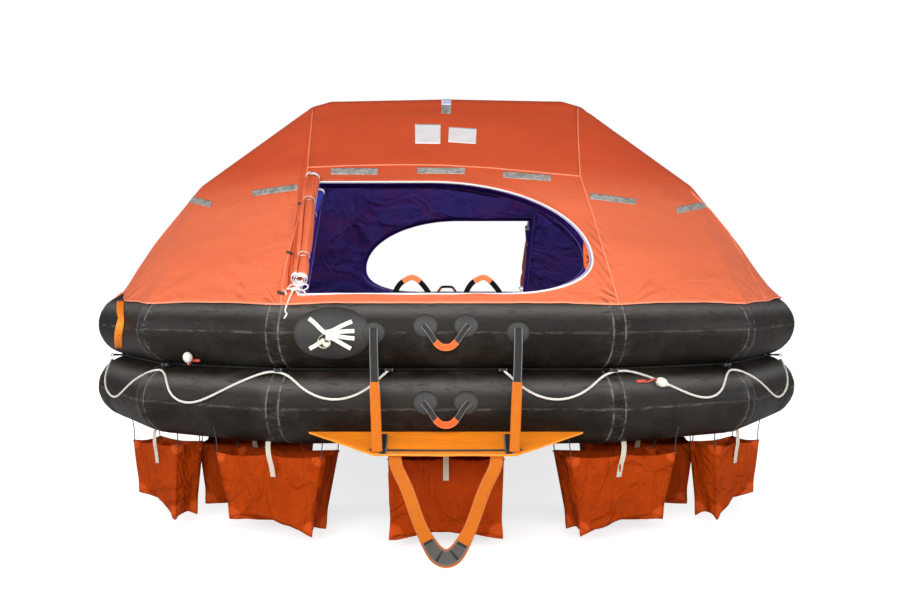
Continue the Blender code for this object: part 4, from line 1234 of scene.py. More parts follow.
def anchor_loops(anchors, radius):
    """Black webbing loops that hold the ropes to the strip between the tubes, one at each anchor."""
    loop = Build()
    turn = np.linspace(math.radians(-150), math.radians(150), 15)
    reach = radius + 0.0022
    centres = [(0.0062 + reach * math.cos(a), 0.0, reach * math.sin(a)) for a in turn]
    centres = [(-0.026, 0.0, -0.0045)] + centres + [(-0.026, 0.0, 0.0045)]
    normals = [(0, 0, -1)] + [(math.cos(a), 0, math.sin(a)) for a in turn] + [(0, 0, 1)]
    loop.band(centres, [(0.0, 0.021, 0.0)] * len(centres), normals, 0.0022)
    pattern = bpy.data.objects.new("loop", loop.mesh("loop"))
    points = bpy.data.meshes.new("anchors")
    points.from_pydata([tuple(spot) for spot, _ in anchors], [], [])
    turns = points.attributes.new("turn", "FLOAT", "POINT")
    turns.data.foreach_set("value", [angle for _, angle in anchors])
    made = repeated("lifeline_anchors", points, scatter_tree(), black_webbing(), {"Piece": pattern})
    bpy.data.objects.remove(pattern, do_unlink=True)
    hang(made, "black_webbing")


# Repeating pieces


def node_tree(name, inputs):
    """New geometry tree with named inputs, and its ends."""
    tree = bpy.data.node_groups.new(name, "GeometryNodeTree")
    tree.interface.new_socket(name="Geometry", in_out="INPUT", socket_type="NodeSocketGeometry")
    for label, kind, value in inputs:
        socket = tree.interface.new_socket(name=label, in_out="INPUT", socket_type=kind)
        if value is not None:
            socket.default_value = value
    tree.interface.new_socket(name="Geometry", in_out="OUTPUT", socket_type="NodeSocketGeometry")
    return tree, tree.nodes.new("NodeGroupInput"), tree.nodes.new("NodeGroupOutput")


def end_tree(tree, geometry, given, end):
    """Close a tree: realize its instances and give them the named material."""
    real = tree.nodes.new("GeometryNodeRealizeInstances")
    paint = tree.nodes.new("GeometryNodeSetMaterial")
    tree.links.new(geometry, real.inputs[0])
    tree.links.new(real.outputs[0], paint.inputs["Geometry"])
    tree.links.new(given.outputs["Material"], paint.inputs["Material"])
    tree.links.new(paint.outputs[0], end.inputs[0])
    return tree


def scatter_tree():
    """A piece on each point, turned about Z by the point's own angle."""
    found = bpy.data.node_groups.get("piece at each anchor")
    if found:
        return found
    tree, given, end = node_tree("piece at each anchor", [
        ("Piece", "NodeSocketObject", None), ("Size", "NodeSocketFloat", 1.0),
        ("Material", "NodeSocketMaterial", None)])
    piece = tree.nodes.new("GeometryNodeObjectInfo")
    turn = tree.nodes.new("GeometryNodeInputNamedAttribute")
    turn.data_type = "FLOAT"
    turn.inputs["Name"].default_value = "turn"
    combine = tree.nodes.new("ShaderNodeCombineXYZ")
    place = tree.nodes.new("GeometryNodeInstanceOnPoints")
    tree.links.new(given.outputs["Piece"], piece.inputs["Object"])
    tree.links.new(turn.outputs["Attribute"], combine.inputs["Z"])
    tree.links.new(given.outputs["Geometry"], place.inputs["Points"])
    tree.links.new(piece.outputs["Geometry"], place.inputs["Instance"])
    tree.links.new(combine.outputs[0], place.inputs["Rotation"])
    tree.links.new(given.outputs["Size"], place.inputs["Scale"])
    return end_tree(tree, place.outputs[0], given, end)


def stitch_tree():
    """A row of stitches along each edge of a line: short rounded threads, evenly spaced."""
    found = bpy.data.node_groups.get("stitches along a line")
    if found:
        return found
    tree, given, end = node_tree("stitches along a line", [
        ("Spacing", "NodeSocketFloat", 0.008), ("Length", "NodeSocketFloat", 0.005),
        ("Thread", "NodeSocketFloat", 0.0008), ("Seed", "NodeSocketInt", 7),
        ("Material", "NodeSocketMaterial", None)])
    curve = tree.nodes.new("GeometryNodeMeshToCurve")
    points = tree.nodes.new("GeometryNodeCurveToPoints")
    points.mode = "LENGTH"
    place = tree.nodes.new("GeometryNodeInstanceOnPoints")
    ball = tree.nodes.new("GeometryNodeMeshUVSphere")
    ball.inputs["Segments"].default_value = 5
    ball.inputs["Rings"].default_value = 4
    ball.inputs["Radius"].default_value = 1.0
    size = tree.nodes.new("ShaderNodeCombineXYZ")
    half = tree.nodes.new("ShaderNodeMath")
    half.operation = "MULTIPLY"
    half.inputs[1].default_value = 0.5
    jitter = tree.nodes.new("FunctionNodeRandomValue")
    jitter.data_type = "FLOAT"
    jitter.inputs[2].default_value = 0.85
    jitter.inputs[3].default_value = 1.1
    link = tree.links.new
    link(given.outputs["Geometry"], curve.inputs[0])
    link(curve.outputs[0], points.inputs[0])
    link(given.outputs["Spacing"], points.inputs["Length"])
    link(points.outputs["Points"], place.inputs["Points"])
    link(points.outputs["Rotation"], place.inputs["Rotation"])
    link(ball.outputs[0], place.inputs["Instance"])
    link(given.outputs["Length"], half.inputs[0])
    link(given.outputs["Thread"], size.inputs["X"])
    link(given.outputs["Thread"], size.inputs["Y"])
    link(half.outputs[0], size.inputs["Z"])
    grow = tree.nodes.new("ShaderNodeVectorMath")
    grow.operation = "SCALE"
    link(size.outputs[0], grow.inputs[0])
    link(given.outputs["Seed"], jitter.inputs["Seed"])
    link(jitter.outputs[1], grow.inputs["Scale"])
    link(grow.outputs[0], place.inputs["Scale"])
    return end_tree(tree, place.outputs[0], given, end)


def repeated(name, mesh, tree, material, values):
    """Run a tree on a mesh and keep the result as a plain object."""
    source = bpy.data.objects.new(name + "_source", mesh)
    bpy.context.scene.collection.objects.link(source)
    modifier = source.modifiers.new("repeat", "NODES")
    modifier.node_group = tree
    wanted = {**values, "Material": material}
    for item in tree.interface.items_tree:
        if item.in_out == "INPUT" and item.name in wanted:
            modifier[item.identifier] = wanted[item.name]
    pattern = values.get("Piece")
    if pattern is not None and pattern.name not in bpy.context.scene.collection.objects:
        bpy.context.scene.collection.objects.link(pattern)
    bpy.context.view_layer.update()
    result = source.evaluated_get(bpy.context.evaluated_depsgraph_get())
    made_mesh = bpy.data.meshes.new_from_object(result)
    source.modifiers.clear()
    bpy.data.objects.remove(source, do_unlink=True)
    made_mesh.name = name
    made_mesh.shade_smooth()
    made = bpy.data.objects.new(name, made_mesh)
    bpy.context.scene.collection.objects.link(made)
    return made


STITCH_LINES = []


def sew(path):
    """Remember a line that gets a row of stitches."""
    STITCH_LINES.append(np.asarray(path, float))


def stitches():
    """All the raft's visible rows of stitches, laid along the remembered lines."""
    points, edges = [], []
    for path in STITCH_LINES:
        base = len(points)
        points.extend(map(tuple, path))
        edges.extend((base + i, base + i + 1) for i in range(len(path) - 1))
    mesh = bpy.data.meshes.new("stitch_lines")
    mesh.from_pydata(points, edges, [])
    values = {"Spacing": sizes().stitch_spacing, "Length": sizes().stitch_spacing * 0.62, "Thread": 0.0008}
    hang(repeated("stitching", mesh, stitch_tree(), thread(), values), "white_rope")


# The tent: canopy and liner


class Sheet:
    """One continuous cloth: panels share the points on their seams."""

    def __init__(self):
        self.index = {}
        self.points = []
        self.faces = []

    def at(self, point):
        key = tuple(round(float(value), 4) for value in point)
        if key not in self.index:
            self.index[key] = len(self.points)
            self.points.append(tuple(float(value) for value in point))
        return self.index[key]

    def grid(self, rows):
        """Add a panel through rows of points and return the numbers of its points."""
        numbers = [[self.at(point) for point in row] for row in rows]
        for first, second in zip(numbers, numbers[1:]):
            for i in range(len(first) - 1):
                face = []
                for number in (first[i], first[i + 1], second[i + 1], second[i]):
                    if number not in face:
                        face.append(number)
                if len(face) > 2:
                    self.faces.append(face)
        return numbers


def resample(line, shares):
    line = np.asarray(line, float)
    steps = np.linalg.norm(np.diff(line, axis=0), axis=1)
    at = np.concatenate([[0.0], np.cumsum(steps)]) / steps.sum()
    return np.stack([np.interp(shares, at, line[:, axis]) for axis in range(3)], axis=1)


def shares_of(line):
    line = np.asarray(line, float)
    steps = np.linalg.norm(np.diff(line, axis=0), axis=1)
    return list(np.concatenate([[0.0], np.cumsum(steps)]) / steps.sum())


def entrance_outline(counts):
    """Entrance outline in X and Z, in four parts from the lower left corner: bottom, right, top, left."""
    dense = [(ENTRANCE_LEFT, ENTRANCE_BOTTOM)]
    power = 2 / ENTRANCE_BOTTOM_POWER
    for step in range(61):
        angle = math.radians(90 - 1.5 * step)
        x = (ENTRANCE_RIGHT - ENTRANCE_BOTTOM_CENTRE_X) * math.cos(angle) ** power
        z = (ENTRANCE_WAIST_Z - ENTRANCE_BOTTOM) * max(0.0, math.sin(angle)) ** power
        dense.append((ENTRANCE_BOTTOM_CENTRE_X + x, ENTRANCE_WAIST_Z - z))
    for step in range(1, 61):
        angle = math.radians(1.5 * step)
        x = (ENTRANCE_RIGHT - ENTRANCE_TOP_CENTRE_X) * math.cos(angle)
        z = (ENTRANCE_TOP - ENTRANCE_WAIST_Z) * math.sin(angle)
        dense.append((ENTRANCE_TOP_CENTRE_X + x, ENTRANCE_WAIST_Z + z))
    dense += [(ENTRANCE_LEFT, ENTRANCE_TOP), (ENTRANCE_LEFT, ENTRANCE_BOTTOM)]
    dense = np.array([(x, 0.0, z) for x, z in dense])
    shares = shares_of(dense)
    breaks = [0.0, shares[36], shares[61 + 38], shares[-2], 1.0]
    parts = []
    for part, count in enumerate(counts):
        wanted = np.linspace(breaks[part], breaks[part + 1], count + 1)[:-1]
        parts.append(resample(dense, wanted)[:, [0, 2]])
    return np.concatenate(parts)


class Tent:
    """Shape rule of the canopy or the liner."""

    def __init__(self, top, leg, hem, break_y, counts=(84, 56, 60, 44), pulls=(0.0, 0.0)):
        self.hem_offset, self.hem_z = hem
        self.break_y = break_y
        self.across_n, self.rise_n, self.leg_n, self.deep_n = counts
        corners = CORNERS + SHIFTS * self.hem_offset
        self.hem_corners = corners
        foot = (corners[2][0], self.hem_z)
        self.half = [top[-1]] + list(leg) + [foot]
        self.crown = [(-x, z) for x, z in reversed(top[1:])] + list(top)
        self.sheet = Sheet()
        self.pulls = pulls
        self.hem_points = set()
        self.openings = {}

    def hem(self, side, front):
        line = [(side * x, front * -y, self.hem_z) for x, y in self.hem_corners[:3]]
        return line + [(line[-1][0], front * self.break_y, self.hem_z)]

    def drawn_in(self, line, side, front):
        """The hem's points beside a rounded end, moved in over the tube's top as the real cloth is."""
        pull = self.pulls[0] if side * front > 0 else self.pulls[1]
        corner = np.array((side * self.hem_corners[2][0], front * -self.hem_corners[2][1]))
        moved = []
        for spot in line:
            away = float(np.linalg.norm(spot[:2] - corner))
            share = steady(1 - away / 0.50) if abs(spot[1]) > abs(corner[1]) else 1.0
            share *= steady((abs(spot[1]) - 1.06) / 0.15)
            offset = self.hem_offset - pull * share
            rise = math.sqrt(CANOPY_LIFT ** 2 - offset ** 2)
            rise -= math.sqrt(CANOPY_LIFT ** 2 - self.hem_offset ** 2)
            inward = np.array((-side, 0.35 * -front, 0.0)) / 1.06
            moved.append(spot + inward * pull * share + np.array((0.0, 0.0, rise)))
        return np.array(moved)

    def leg(self, side, front):
        return [(side * x, front * self.break_y, z) for x, z in self.half]

    def wall_y(self, x, z):
        """Depth of the front wall's face at a place on it."""
        top_x, top_z = zip(*self.crown)
        crown_z = np.interp(x, top_x, top_z)
        hem_y = self.hem_corners[0][1]
        share = (z - self.hem_z) / (crown_z - self.hem_z)
        return hem_y + (-self.break_y - hem_y) * share

    def end_wall(self, front):
        """End wall with its entrance: rings of points from the opening out to the wall's edges."""
        corner = self.hem_corners[0]
        hem_y = corner[1]
        xs = np.linspace(-corner[0], corner[0], self.across_n + 1)
        bottom = [(x, hem_y, self.hem_z) for x in xs]
        crown = resample([(x, -self.break_y, z) for x, z in self.crown], np.linspace(0, 1, self.across_n + 1))
        rise = np.linspace(0, 1, self.rise_n + 1)[:, None]
        right = np.array(bottom[-1]) + (crown[-1] - np.array(bottom[-1])) * rise
        left = np.array(bottom[0]) + (crown[0] - np.array(bottom[0])) * rise
        border = list(bottom[:-1]) + list(right[:-1]) + list(crown[::-1][:-1]) + list(left[::-1][:-1])
        border = np.array(border)
        inner = entrance_outline((self.across_n, self.rise_n, self.across_n, self.rise_n))
        rings = []
        steps = 18
        for step in range(steps + 1):
            share = step / steps
            ring = []
            for (x, z), outer in zip(inner, border):
                if step == steps:
                    ring.append(outer)
                    continue
                px = x + (outer[0] - x) * share
                pz = z + (outer[2] - z) * share
                py = self.wall_y(px, pz)
                exact = steady((share - 0.6) / 0.4)
                py = py + (outer[1] - self.wall_y(outer[0], outer[2])) * exact
                ring.append((px, py, pz))
            rings.append(ring + [ring[0]])
        rings = np.array(rings)
        if front > 0:
            rings = rings * HALF_TURN
        numbers = self.sheet.grid(rings)
        self.openings[front] = numbers[0][:-1]
        self.hem_points.update(numbers[-1][:self.across_n + 1])

    def build(self):
        """Lay all the panels: both end walls, the roof, the corners and the sides."""
        for front in (-1, 1):
            self.end_wall(front)
        crowns = {}
        for front in (-1, 1):
            line = resample([(x, front * self.break_y, z) for x, z in self.crown],
                            np.linspace(0, 1, self.across_n + 1))
            if front > 0:
                line = line[::-1] * np.array((-1.0, 1.0, 1.0))
            crowns[front] = line
        deep = np.linspace(0, 1, self.deep_n + 1)[:, None, None]
        self.sheet.grid(crowns[-1][None] + (crowns[1] - crowns[-1])[None] * deep)
        for side in (1, -1):
            legs = {}
            for front in (-1, 1):
                hem, leg = self.hem(side, front), self.leg(side, front)
                shares = sorted({round(v, 6) for v in list(np.linspace(0, 1, self.leg_n + 1))
                                 + shares_of(hem) + shares_of(leg)})
                lower, upper = resample(hem, shares), resample(leg, shares)
                if self.pulls[0]:
                    lower = self.drawn_in(lower, side, front)
                rise = np.linspace(0, 1, self.rise_n + 1)[:, None, None]
                numbers = self.sheet.grid(lower[None] + (upper - lower)[None] * rise)
                legs[front] = upper
                self.hem_points.update(numbers[0])
            numbers = self.sheet.grid(legs[-1][None] + (legs[1] - legs[-1])[None] * deep)
            self.hem_points.update(row[-1] for row in numbers)

    def relaxed(self, passes, keep, width):
        """Round the cloth over its ridges by easing the points near them, a few times over."""
        count = len(self.sheet.points)
        points = np.array(self.sheet.points)
        edges = {tuple(sorted((face[i], face[(i + 1) % len(face)])))
                 for face in self.sheet.faces for i in range(len(face))}
        edges = np.array(sorted(edges))
        degree = np.bincount(edges.ravel(), minlength=count)
        share = np.clip(1 - (self.ridge_distance(points) - width * 0.5) / width, 0, 1)
        share[list(keep)] = 0
        for _ in range(passes):
            total = np.zeros_like(points)
            np.add.at(total, edges[:, 0], points[edges[:, 1]])
            np.add.at(total, edges[:, 1], points[edges[:, 0]])
            points += (total / degree[:, None] - points) * (0.5 * share)[:, None]
        return points

    def ridge_distance(self, points):
        """Distance of each point from the arch lines that the cloth is bent over."""
        lines = []
        half = self.crown[len(self.crown) // 2:] + self.half[1:]
        for side in (1, -1):
            for front in (-1, 1):
                lines.append([(side * x, front * self.break_y, z) for x, z in half])
        corners = [[(side * self.half[0][0], -self.break_y, self.half[0][1]),
                    (side * self.half[0][0], self.break_y, self.half[0][1])] for side in (1, -1)]
        best = np.full(len(points), 9.0)
        for line in lines + corners:
            for start, stop in zip(np.array(line), np.array(line)[1:]):
                along = stop - start
                at = np.clip(((points - start) @ along) / (along @ along), 0, 1)
                best = np.minimum(best, np.linalg.norm(points - start - at[:, None] * along, axis=1))
        return best


WALL = Tent(CANOPY_TOP, CANOPY_LEG, CANOPY_HEM, BREAK_Y)


def cloth_normals(points, faces, middle):
    """Outward normals of a sheet's points."""
    normals = np.zeros_like(points)
    for face in faces:
        spot = points[face]
        normal = np.cross(spot[1] - spot[0], spot[2] - spot[0])
        if len(face) == 4:
            normal = np.cross(spot[2] - spot[0], spot[3] - spot[1])
        if normal @ (spot[0] - middle) < 0:
            normal = -normal
        normals[face] += normal
    return normals / np.linalg.norm(normals, axis=1)[:, None]


def facing_out(points, faces, middle):
    """The faces in the order that makes them point away from the middle."""
    turned = []
    for face in faces:
        spot = points[face]
        normal = np.cross(spot[1] - spot[0], spot[2] - spot[0])
        if np.linalg.norm(normal) < 1e-12:
            normal = np.cross(spot[2] - spot[0], spot[-1] - spot[0])
        turned.append(list(face) if normal @ (spot[0] - middle) > 0 else list(face)[::-1])
    return turned


def sheet_object(name, points, faces, material, slot, wall, replaces, slack, middle):
    """Object of a tent's cloth with pattern coordinates laid from its own directions."""
    faces = facing_out(points, faces, middle)
    shape = Build()
    shape.points = [tuple(p) for p in points]
    shape.faces = [tuple(face) for face in faces]
    for face in faces:
        spots = points[face]
        normal = np.cross(spots[1] - spots[0], spots[2] - spots[0])
        flat = abs(normal[2]) > abs(normal[0]) + abs(normal[1])
        for spot in spots:
            shape.uvs.append((spot[0] + spot[1] * 0.2, spot[1] if flat else spot[2]))
    shape.kinds = [0] * len(faces)
    shape.marks = {"slack": dict(enumerate(slack))}
    return shape.finish(name, [material], slot, replaces, wall=wall, sharp=180)


def welt(name, paths, radius, material, slot, sides=7):
    """Raised lines along seams."""
    shape = Build()
    for path in paths:
        shape.rows(sweep(path, radius, sides), ring=True, caps=True)
    return shape.finish(name, [material], slot, sharp=180)


def fan(point, centre, reach, count, seed):
    """Folds that run out from a point where the cloth is pulled, from -1 to 1."""
    away = np.asarray(point) - np.asarray(centre)
    distance = float(np.linalg.norm(away))
    if distance > reach or distance < 1e-6:
        return 0.0
    angle = math.atan2(away[2], math.hypot(away[0], away[1]) * (1 if away[0] + away[1] > 0 else -1))
    fade = (1 - distance / reach) ** 1.5 * steady(distance / 0.08)
    return math.sin(angle * count + rough(point, 2.0, seed) * 2.4) * fade


def canopy():
    """The canopy: one orange cloth over both arches, with an entrance at each end."""
    middle = np.array((0.0, 0.0, UPPER_TUBE_Z))
    tent = Tent(CANOPY_TOP, CANOPY_LEG, CANOPY_HEM, BREAK_Y, pulls=(0.088, 0.030))
    tent.build()
    faces = tent.sheet.faces
    start = np.array(tent.sheet.points)
    fixed = set(tent.hem_points)
    for ring in tent.openings.values():
        fixed.update(ring)
    points = tent.relaxed(24, fixed, 0.20)
    normals = cloth_normals(points, faces, middle)
    ridge = tent.ridge_distance(start)
    hem_corners = [(sx * tent.hem_corners[i][0], sy * tent.hem_corners[i][1], tent.hem_z)
                   for i in range(3) for sx in (1, -1) for sy in (1, -1)]
    corner_points = np.array(hem_corners)
    moved, slack = [], []
    for index, point in enumerate(points):
        flip = -1.0 if point[1] > 0 else 1.0
        local = np.array((point[0] * flip, point[1] * flip, point[2]))
        height = (point[2] - tent.hem_z) / 1.25
        hem = math.exp(-height * 1.25 / 0.11)
        free = steady(ridge[index] / 0.22)
        near = np.linalg.norm(corner_points - point, axis=1)
        tug = sum(fan(point, corner_points[k], 0.55, 13, k) for k in np.nonzero(near < 0.55)[0])
        sag = -0.016 * math.sin(math.pi * min(1.0, max(0.0, height))) * free
        wave = 0.0100 * rough((local[0] * 1.3, local[1] * 1.3, local[2] * 2.6), 1.7, 4) * free
        pull = 0.0045 * tug
        door = 0.0
        if local[1] < -BREAK_Y and local[0] < ENTRANCE_LEFT + 0.02:
            inside = steady((local[2] - 0.62) / 0.12) * steady((1.42 - local[2]) / 0.15)
            door = 0.0060 * math.sin(local[0] * 130 + local[2] * 9 + rough(local, 3.0, 9) * 3) * inside
            door *= steady((-0.745 - local[0]) / 0.03) * steady((local[0] + 1.0) / 0.08)
        shift = sag + wave + pull + door
        if index in fixed:
            shift = 0.0
        slack.append(min(1.0, hem * 0.8 + abs(tug) * 0.6 + (0.7 if door else 0.0)))
        spot = point + normals[index] * shift
        lift = 0.0
        if height < 0.6:
            pinch = float(np.min(near))
            lift = 0.009 * hem * steady(pinch / 0.30) + 0.0016 * hem * rough(point, 9.0, 2)
            inward = np.array((normals[index][0], normals[index][1], 0.0))
            spot = spot + np.array((0, 0, lift)) - inward / max(0.2, np.linalg.norm(inward)) * lift
        moved.append(spot)
    wall = sizes().canopy_cloth
    moved = clear_of_arches(np.array(moved), normals, ridge, wall)
    names = [f"canopy_{part}" for part in (
        "roof", "side_left", "side_right", "front_wall", "rear_wall",
        "front_left", "front_right", "rear_left", "rear_right")]
    thing = sheet_object("canopy", moved, faces, canopy_cloth(), "canopy_fabric", wall, names, slack, middle)
    radius = sizes().seam_radius
    welt("canopy_seams", cloth_seams(moved, faces), radius, seam_welt(), "canopy_fabric")
    for front, end in ((-1, "front"), (1, "rear")):
        ring = tent.openings[front]
        piping(f"entrance_piping_{end}", moved[ring], normals[ring], wall)
    shape = Build()
    shape.loop(hem_loop(tent, moved), 0.0050, 7)
    shape.finish("canopy_hem", [seam_welt()], "canopy_fabric", sharp=180)
    return thing


def clear_of_arches(points, normals, ridge, wall):
    """Lift the cloth off the arch tubes wherever they would show through it."""
    depsgraph = bpy.context.evaluated_depsgraph_get()
    for name in ("arch_front", "arch_rear"):
        tree = BVHTree.FromObject(frame["nodes"][name], depsgraph)
        for index in np.nonzero((ridge < 0.30) & (points[:, 2] > 0.70))[0]:
            for _ in range(5):
                spot, normal, _, distance = tree.find_nearest(Vector(points[index]))
                off = distance if (Vector(points[index]) - spot).dot(normal) > 0 else -distance
                short = wall + 0.0035 - off
                if short <= 0 or off < -0.06:
                    break
                points[index] += normals[index] * min(short, 0.012)
    return points


def hem_loop(tent, points):
    """The hem's points in order round the raft."""
    hem = sorted(tent.hem_points, key=lambda i: math.atan2(tent.sheet.points[i][1], tent.sheet.points[i][0]))
    return points[hem]


SEAMS = [
    [(313.3, 106), (311, 130), (308.6, 155), (307.7, 167.6), (304.7, 190), (298.7, 218.6), (291.6, 242.3),
     (286.9, 261.3), (283.3, 280.3), (281.0, 303.5)],
    [(577.6, 107), (578.2, 140), (580.3, 176), (589, 203), (598, 232), (607, 262), (613, 283),
     (619.0, 304.0)],
    [(307.9, 167.6), (350, 165.8), (400, 164.9), (440, 165.2), (490, 168), (540, 172.6), (580.2, 176.4)],
    [(690, 191), (697, 198), (722, 221), (746, 264), (766, 301)],
]


def seen_line(tree, pixels, lift, count=60):
    """Path over the cloth where the photograph shows it, given as pixels."""
    line = []
    for px, py in resample([(x, 0.0, y) for x, y in pixels], np.linspace(0, 1, count))[:, [0, 2]]:
        spot, normal, _, _ = tree.ray_cast(*photo_ray(px, py))
        if spot is not None:
            line.append(np.array(spot + (normal if normal.y < 0 else -normal) * lift))
    return np.array(line)


def cloth_seams(points, faces):
    """The canopy's sewn seams, at the front and turned half way round for the rear."""
    tree = BVHTree.FromPolygons([Vector(p) for p in points], [tuple(f) for f in faces])
    lines = [seen_line(tree, seam, sizes().seam_radius * 0.35) for seam in SEAMS]
    return lines + [line * HALF_TURN for line in lines]


def piping(name, ring, normals, wall):
    """White binding round an entrance with a thin grey cord beside it."""
    radius = sizes().piping_radius
    centre = ring.mean(axis=0)
    shape = Build()
    path = smooth_path(list(ring - normals * wall / 2), 260, closed=True)[:-1]
    shape.loop(path, radius, 10)
    inner = path + (centre - path) / np.linalg.norm(centre - path, axis=1)[:, None] * (radius + 0.0022)
    shape.loop(inner, 0.0020, 7, kind=1)
    return shape.finish(name, [piping_white(), thread()], "white_plastic", sharp=180)


def sweep_closed(path, radius, sides):
    """Rows of a round bar along a closed path."""
    path = np.asarray(path, float)
    tangents = np.roll(path, -1, axis=0) - np.roll(path, 1, axis=0)
    tangents /= np.linalg.norm(tangents, axis=1)[:, None]
    normal = unit(np.cross(path[len(path) // 3] - path[0], path[2 * len(path) // 3] - path[0]))
    first = np.cross(tangents, normal)
    first /= np.linalg.norm(first, axis=1)[:, None]
    second = np.cross(tangents, first)
    angles = np.linspace(0, 2 * math.pi, sides, endpoint=False)
    ring = np.cos(angles)[None, :, None] * first[:, None, :]
    ring = ring + np.sin(angles)[None, :, None] * second[:, None, :]
    return path[:, None, :] + ring * radius


def tied_folds(point, ties):
    """Height of the folds that run out from the liner's ties."""
    star = 0.0
    for tie in ties:
        away = point - tie
        distance = float(np.linalg.norm(away))
        if distance < 0.5:
            angle = math.atan2(away[2], away[0])
            star += math.cos(angle * 4) * 0.024 * (1 - distance / 0.5) ** 1.2
            star -= 0.030 * math.exp(-(distance / 0.05) ** 2)
    return star


def tunnels(tent, moved, faces):
    """Short tunnels of liner cloth out to the canopy's entrances: their points and their outer rims.

    Their faces are added to the list of the cloth's faces.
    """
    extra, rims = [], {}
    for front in (-1, 1):
        ring = tent.openings[front]
        flip = -front
        inner = moved[ring]
        base = len(moved) + len(extra)
        rows = 6
        for row in range(1, rows + 1):
            share = row / rows
            for i in range(len(ring)):
                x, z = inner[i][0] * flip, inner[i][2]
                inset = 0.010 * share
                cx, cz = 0.02, 0.98
                x2, z2 = x + (cx - x) * inset / 0.6, z + (cz - z) * inset / 0.6
                y2 = WALL.wall_y(x2, z2) + 0.010
                spot = np.array((x2 * flip, y2 * flip, z2))
                place = inner[i] + (spot - inner[i]) * share
                bulge = math.sin(math.pi * share) * 0.006 * rough(place, 9.0, 21)
                extra.append(place + np.array((0.0, 0.0, bulge)))
        rims[front] = extra[-len(ring):]
        for row in range(rows):
            for i in range(len(ring)):
                j = (i + 1) % len(ring)
                low = [ring[i], ring[j]] if row == 0 else [base + (row - 1) * len(ring) + k for k in (i, j)]
                high = [base + row * len(ring) + k for k in (i, j)]
                faces.append([low[0], low[1], high[1], high[0]])
    return extra, rims


def liner():
    """Inner liner: thin violet blue cloth with its own entrances, joined to the canopy's by short tunnels."""
    middle = np.array((0.0, 0.0, UPPER_TUBE_Z))
    tent = Tent(LINER_TOP, LINER_LEG, LINER_HEM, LINER_BREAK_Y, (56, 38, 40, 34))
    tent.build()
    start = np.array(tent.sheet.points)
    fixed = {i for i, p in enumerate(start) if p[2] < tent.hem_z + 0.002}
    for ring in tent.openings.values():
        fixed.update(ring)
    points = tent.relaxed(3, fixed, 0.08)
    normals = cloth_normals(points, tent.sheet.faces, middle)
    ridge = tent.ridge_distance(start)
    ties = np.array([(sx * 0.81, sy * 1.32, 1.294) for sx in (1, -1) for sy in (1, -1)]
                    + [(-0.778, 1.55, 0.925), (0.778, -1.55, 0.925)])
    moved = []
    for index, point in enumerate(points):
        if index in fixed:
            moved.append(point)
            continue
        free = steady(ridge[index] / 0.25)
        height = (point[2] - tent.hem_z) / 1.07
        sag = 0.020 * math.sin(math.pi * min(1.0, max(0.0, height)))
        wave = 0.016 * rough(point, 1.7, 11) + 0.007 * rough(point, 5.2, 12)
        star = tied_folds(point, ties)
        crease = 0.0
        if abs(point[0]) < 0.85 and abs(point[1]) > LINER_BREAK_Y:
            crease = -0.020 * math.exp(-((point[2] - 1.285 - 0.012 * math.sin(point[0] * 5)) / 0.030) ** 2)
        moved.append(point + normals[index] * (-sag * 0.5 + (wave + star + crease - 0.016) * free))
    moved = np.array(moved)
    faces = list(tent.sheet.faces)
    extra, rims = tunnels(tent, moved, faces)
    everything = np.concatenate([moved, np.array(extra)])
    used = sorted({i for face in faces for i in face})
    number = {old: new for new, old in enumerate(used)}
    faces = [[number[i] for i in face] for face in faces]
    everything = everything[used]
    wall = sizes().liner_cloth
    # the slack mark is 1.0 on the tunnels' points, where the liner's colour gets its painted shade
    thing = sheet_object("liner", everything, faces, liner_cloth(), "liner_fabric", wall,
                         ["liner_front", "liner_rear", "liner_roof"],
                         [0.5 if i < len(moved) else 1.0 for i in used], middle)
    for front, end in ((-1, "front"), (1, "rear")):
        ring = [moved[i] for i in tent.openings[front]]
        shape = Build()
        for line, radius in ((ring, 0.0026), (rims[front], 0.0042)):
            shape.loop(smooth_path(line, 220, closed=True)[:-1], radius, 7)
        shape.finish(f"liner_binding_{end}", [liner_edge()], "liner_fabric", sharp=180)
    return thing


def liner_edge():
    """Lilac edge binding of the liner."""
    return mottled("liner_edge", 0.6, (0.40, 0.33, 0.55), (0.55, 0.48, 0.66), (14.0, 4.0),
                   grain(300.0), (0.0004, 0.5))


# Rolled doors


def wall_spot(x, z, lift):
    """Point off the front wall's plain face at a height on it."""
    rise = unit(np.array((0.0, -WALL.break_y - WALL.hem_corners[0][1], 1.25)))
    out = np.array((0.0, -rise[2], rise[1]))
    return np.array((x, WALL.wall_y(x, z), z)) + out * lift


def rolled_cloth(centres, radius, core, turns, ties, seed):
    """Rows of a rolled-up cloth along a line: a rumpled spiral that is drawn in where it is tied."""
    centres = np.asarray(centres, float)
    _, first, second = frames_along(centres)
    samples = int(turns * 26)
    rows = []
    for step in range(samples + 1):
        angle = 2 * math.pi * turns * step / samples
        share = step / samples
        row = []
        for index, centre in enumerate(centres):
            along = index / (len(centres) - 1)
            tight = 1.0
            for tie in ties:
                tight -= 0.34 * math.exp(-((along - tie) / 0.045) ** 2)
            loose = share * (0.4 + 0.6 * math.sin(math.pi * along))
            spot = (math.cos(angle) * 1.5, math.sin(angle) * 1.5, along * 4)
            swell = 1 + 0.10 * loose * rough(spot, 1.0, seed)
            swell += 0.06 * loose * math.sin(angle * 3 + along * 9 + seed)
            reach = (core + (radius - core) * share) * tight * swell
            row.append(centre + (first[index] * math.cos(angle) + second[index] * math.sin(angle)) * reach)
        rows.append(row)
    return np.array(rows)


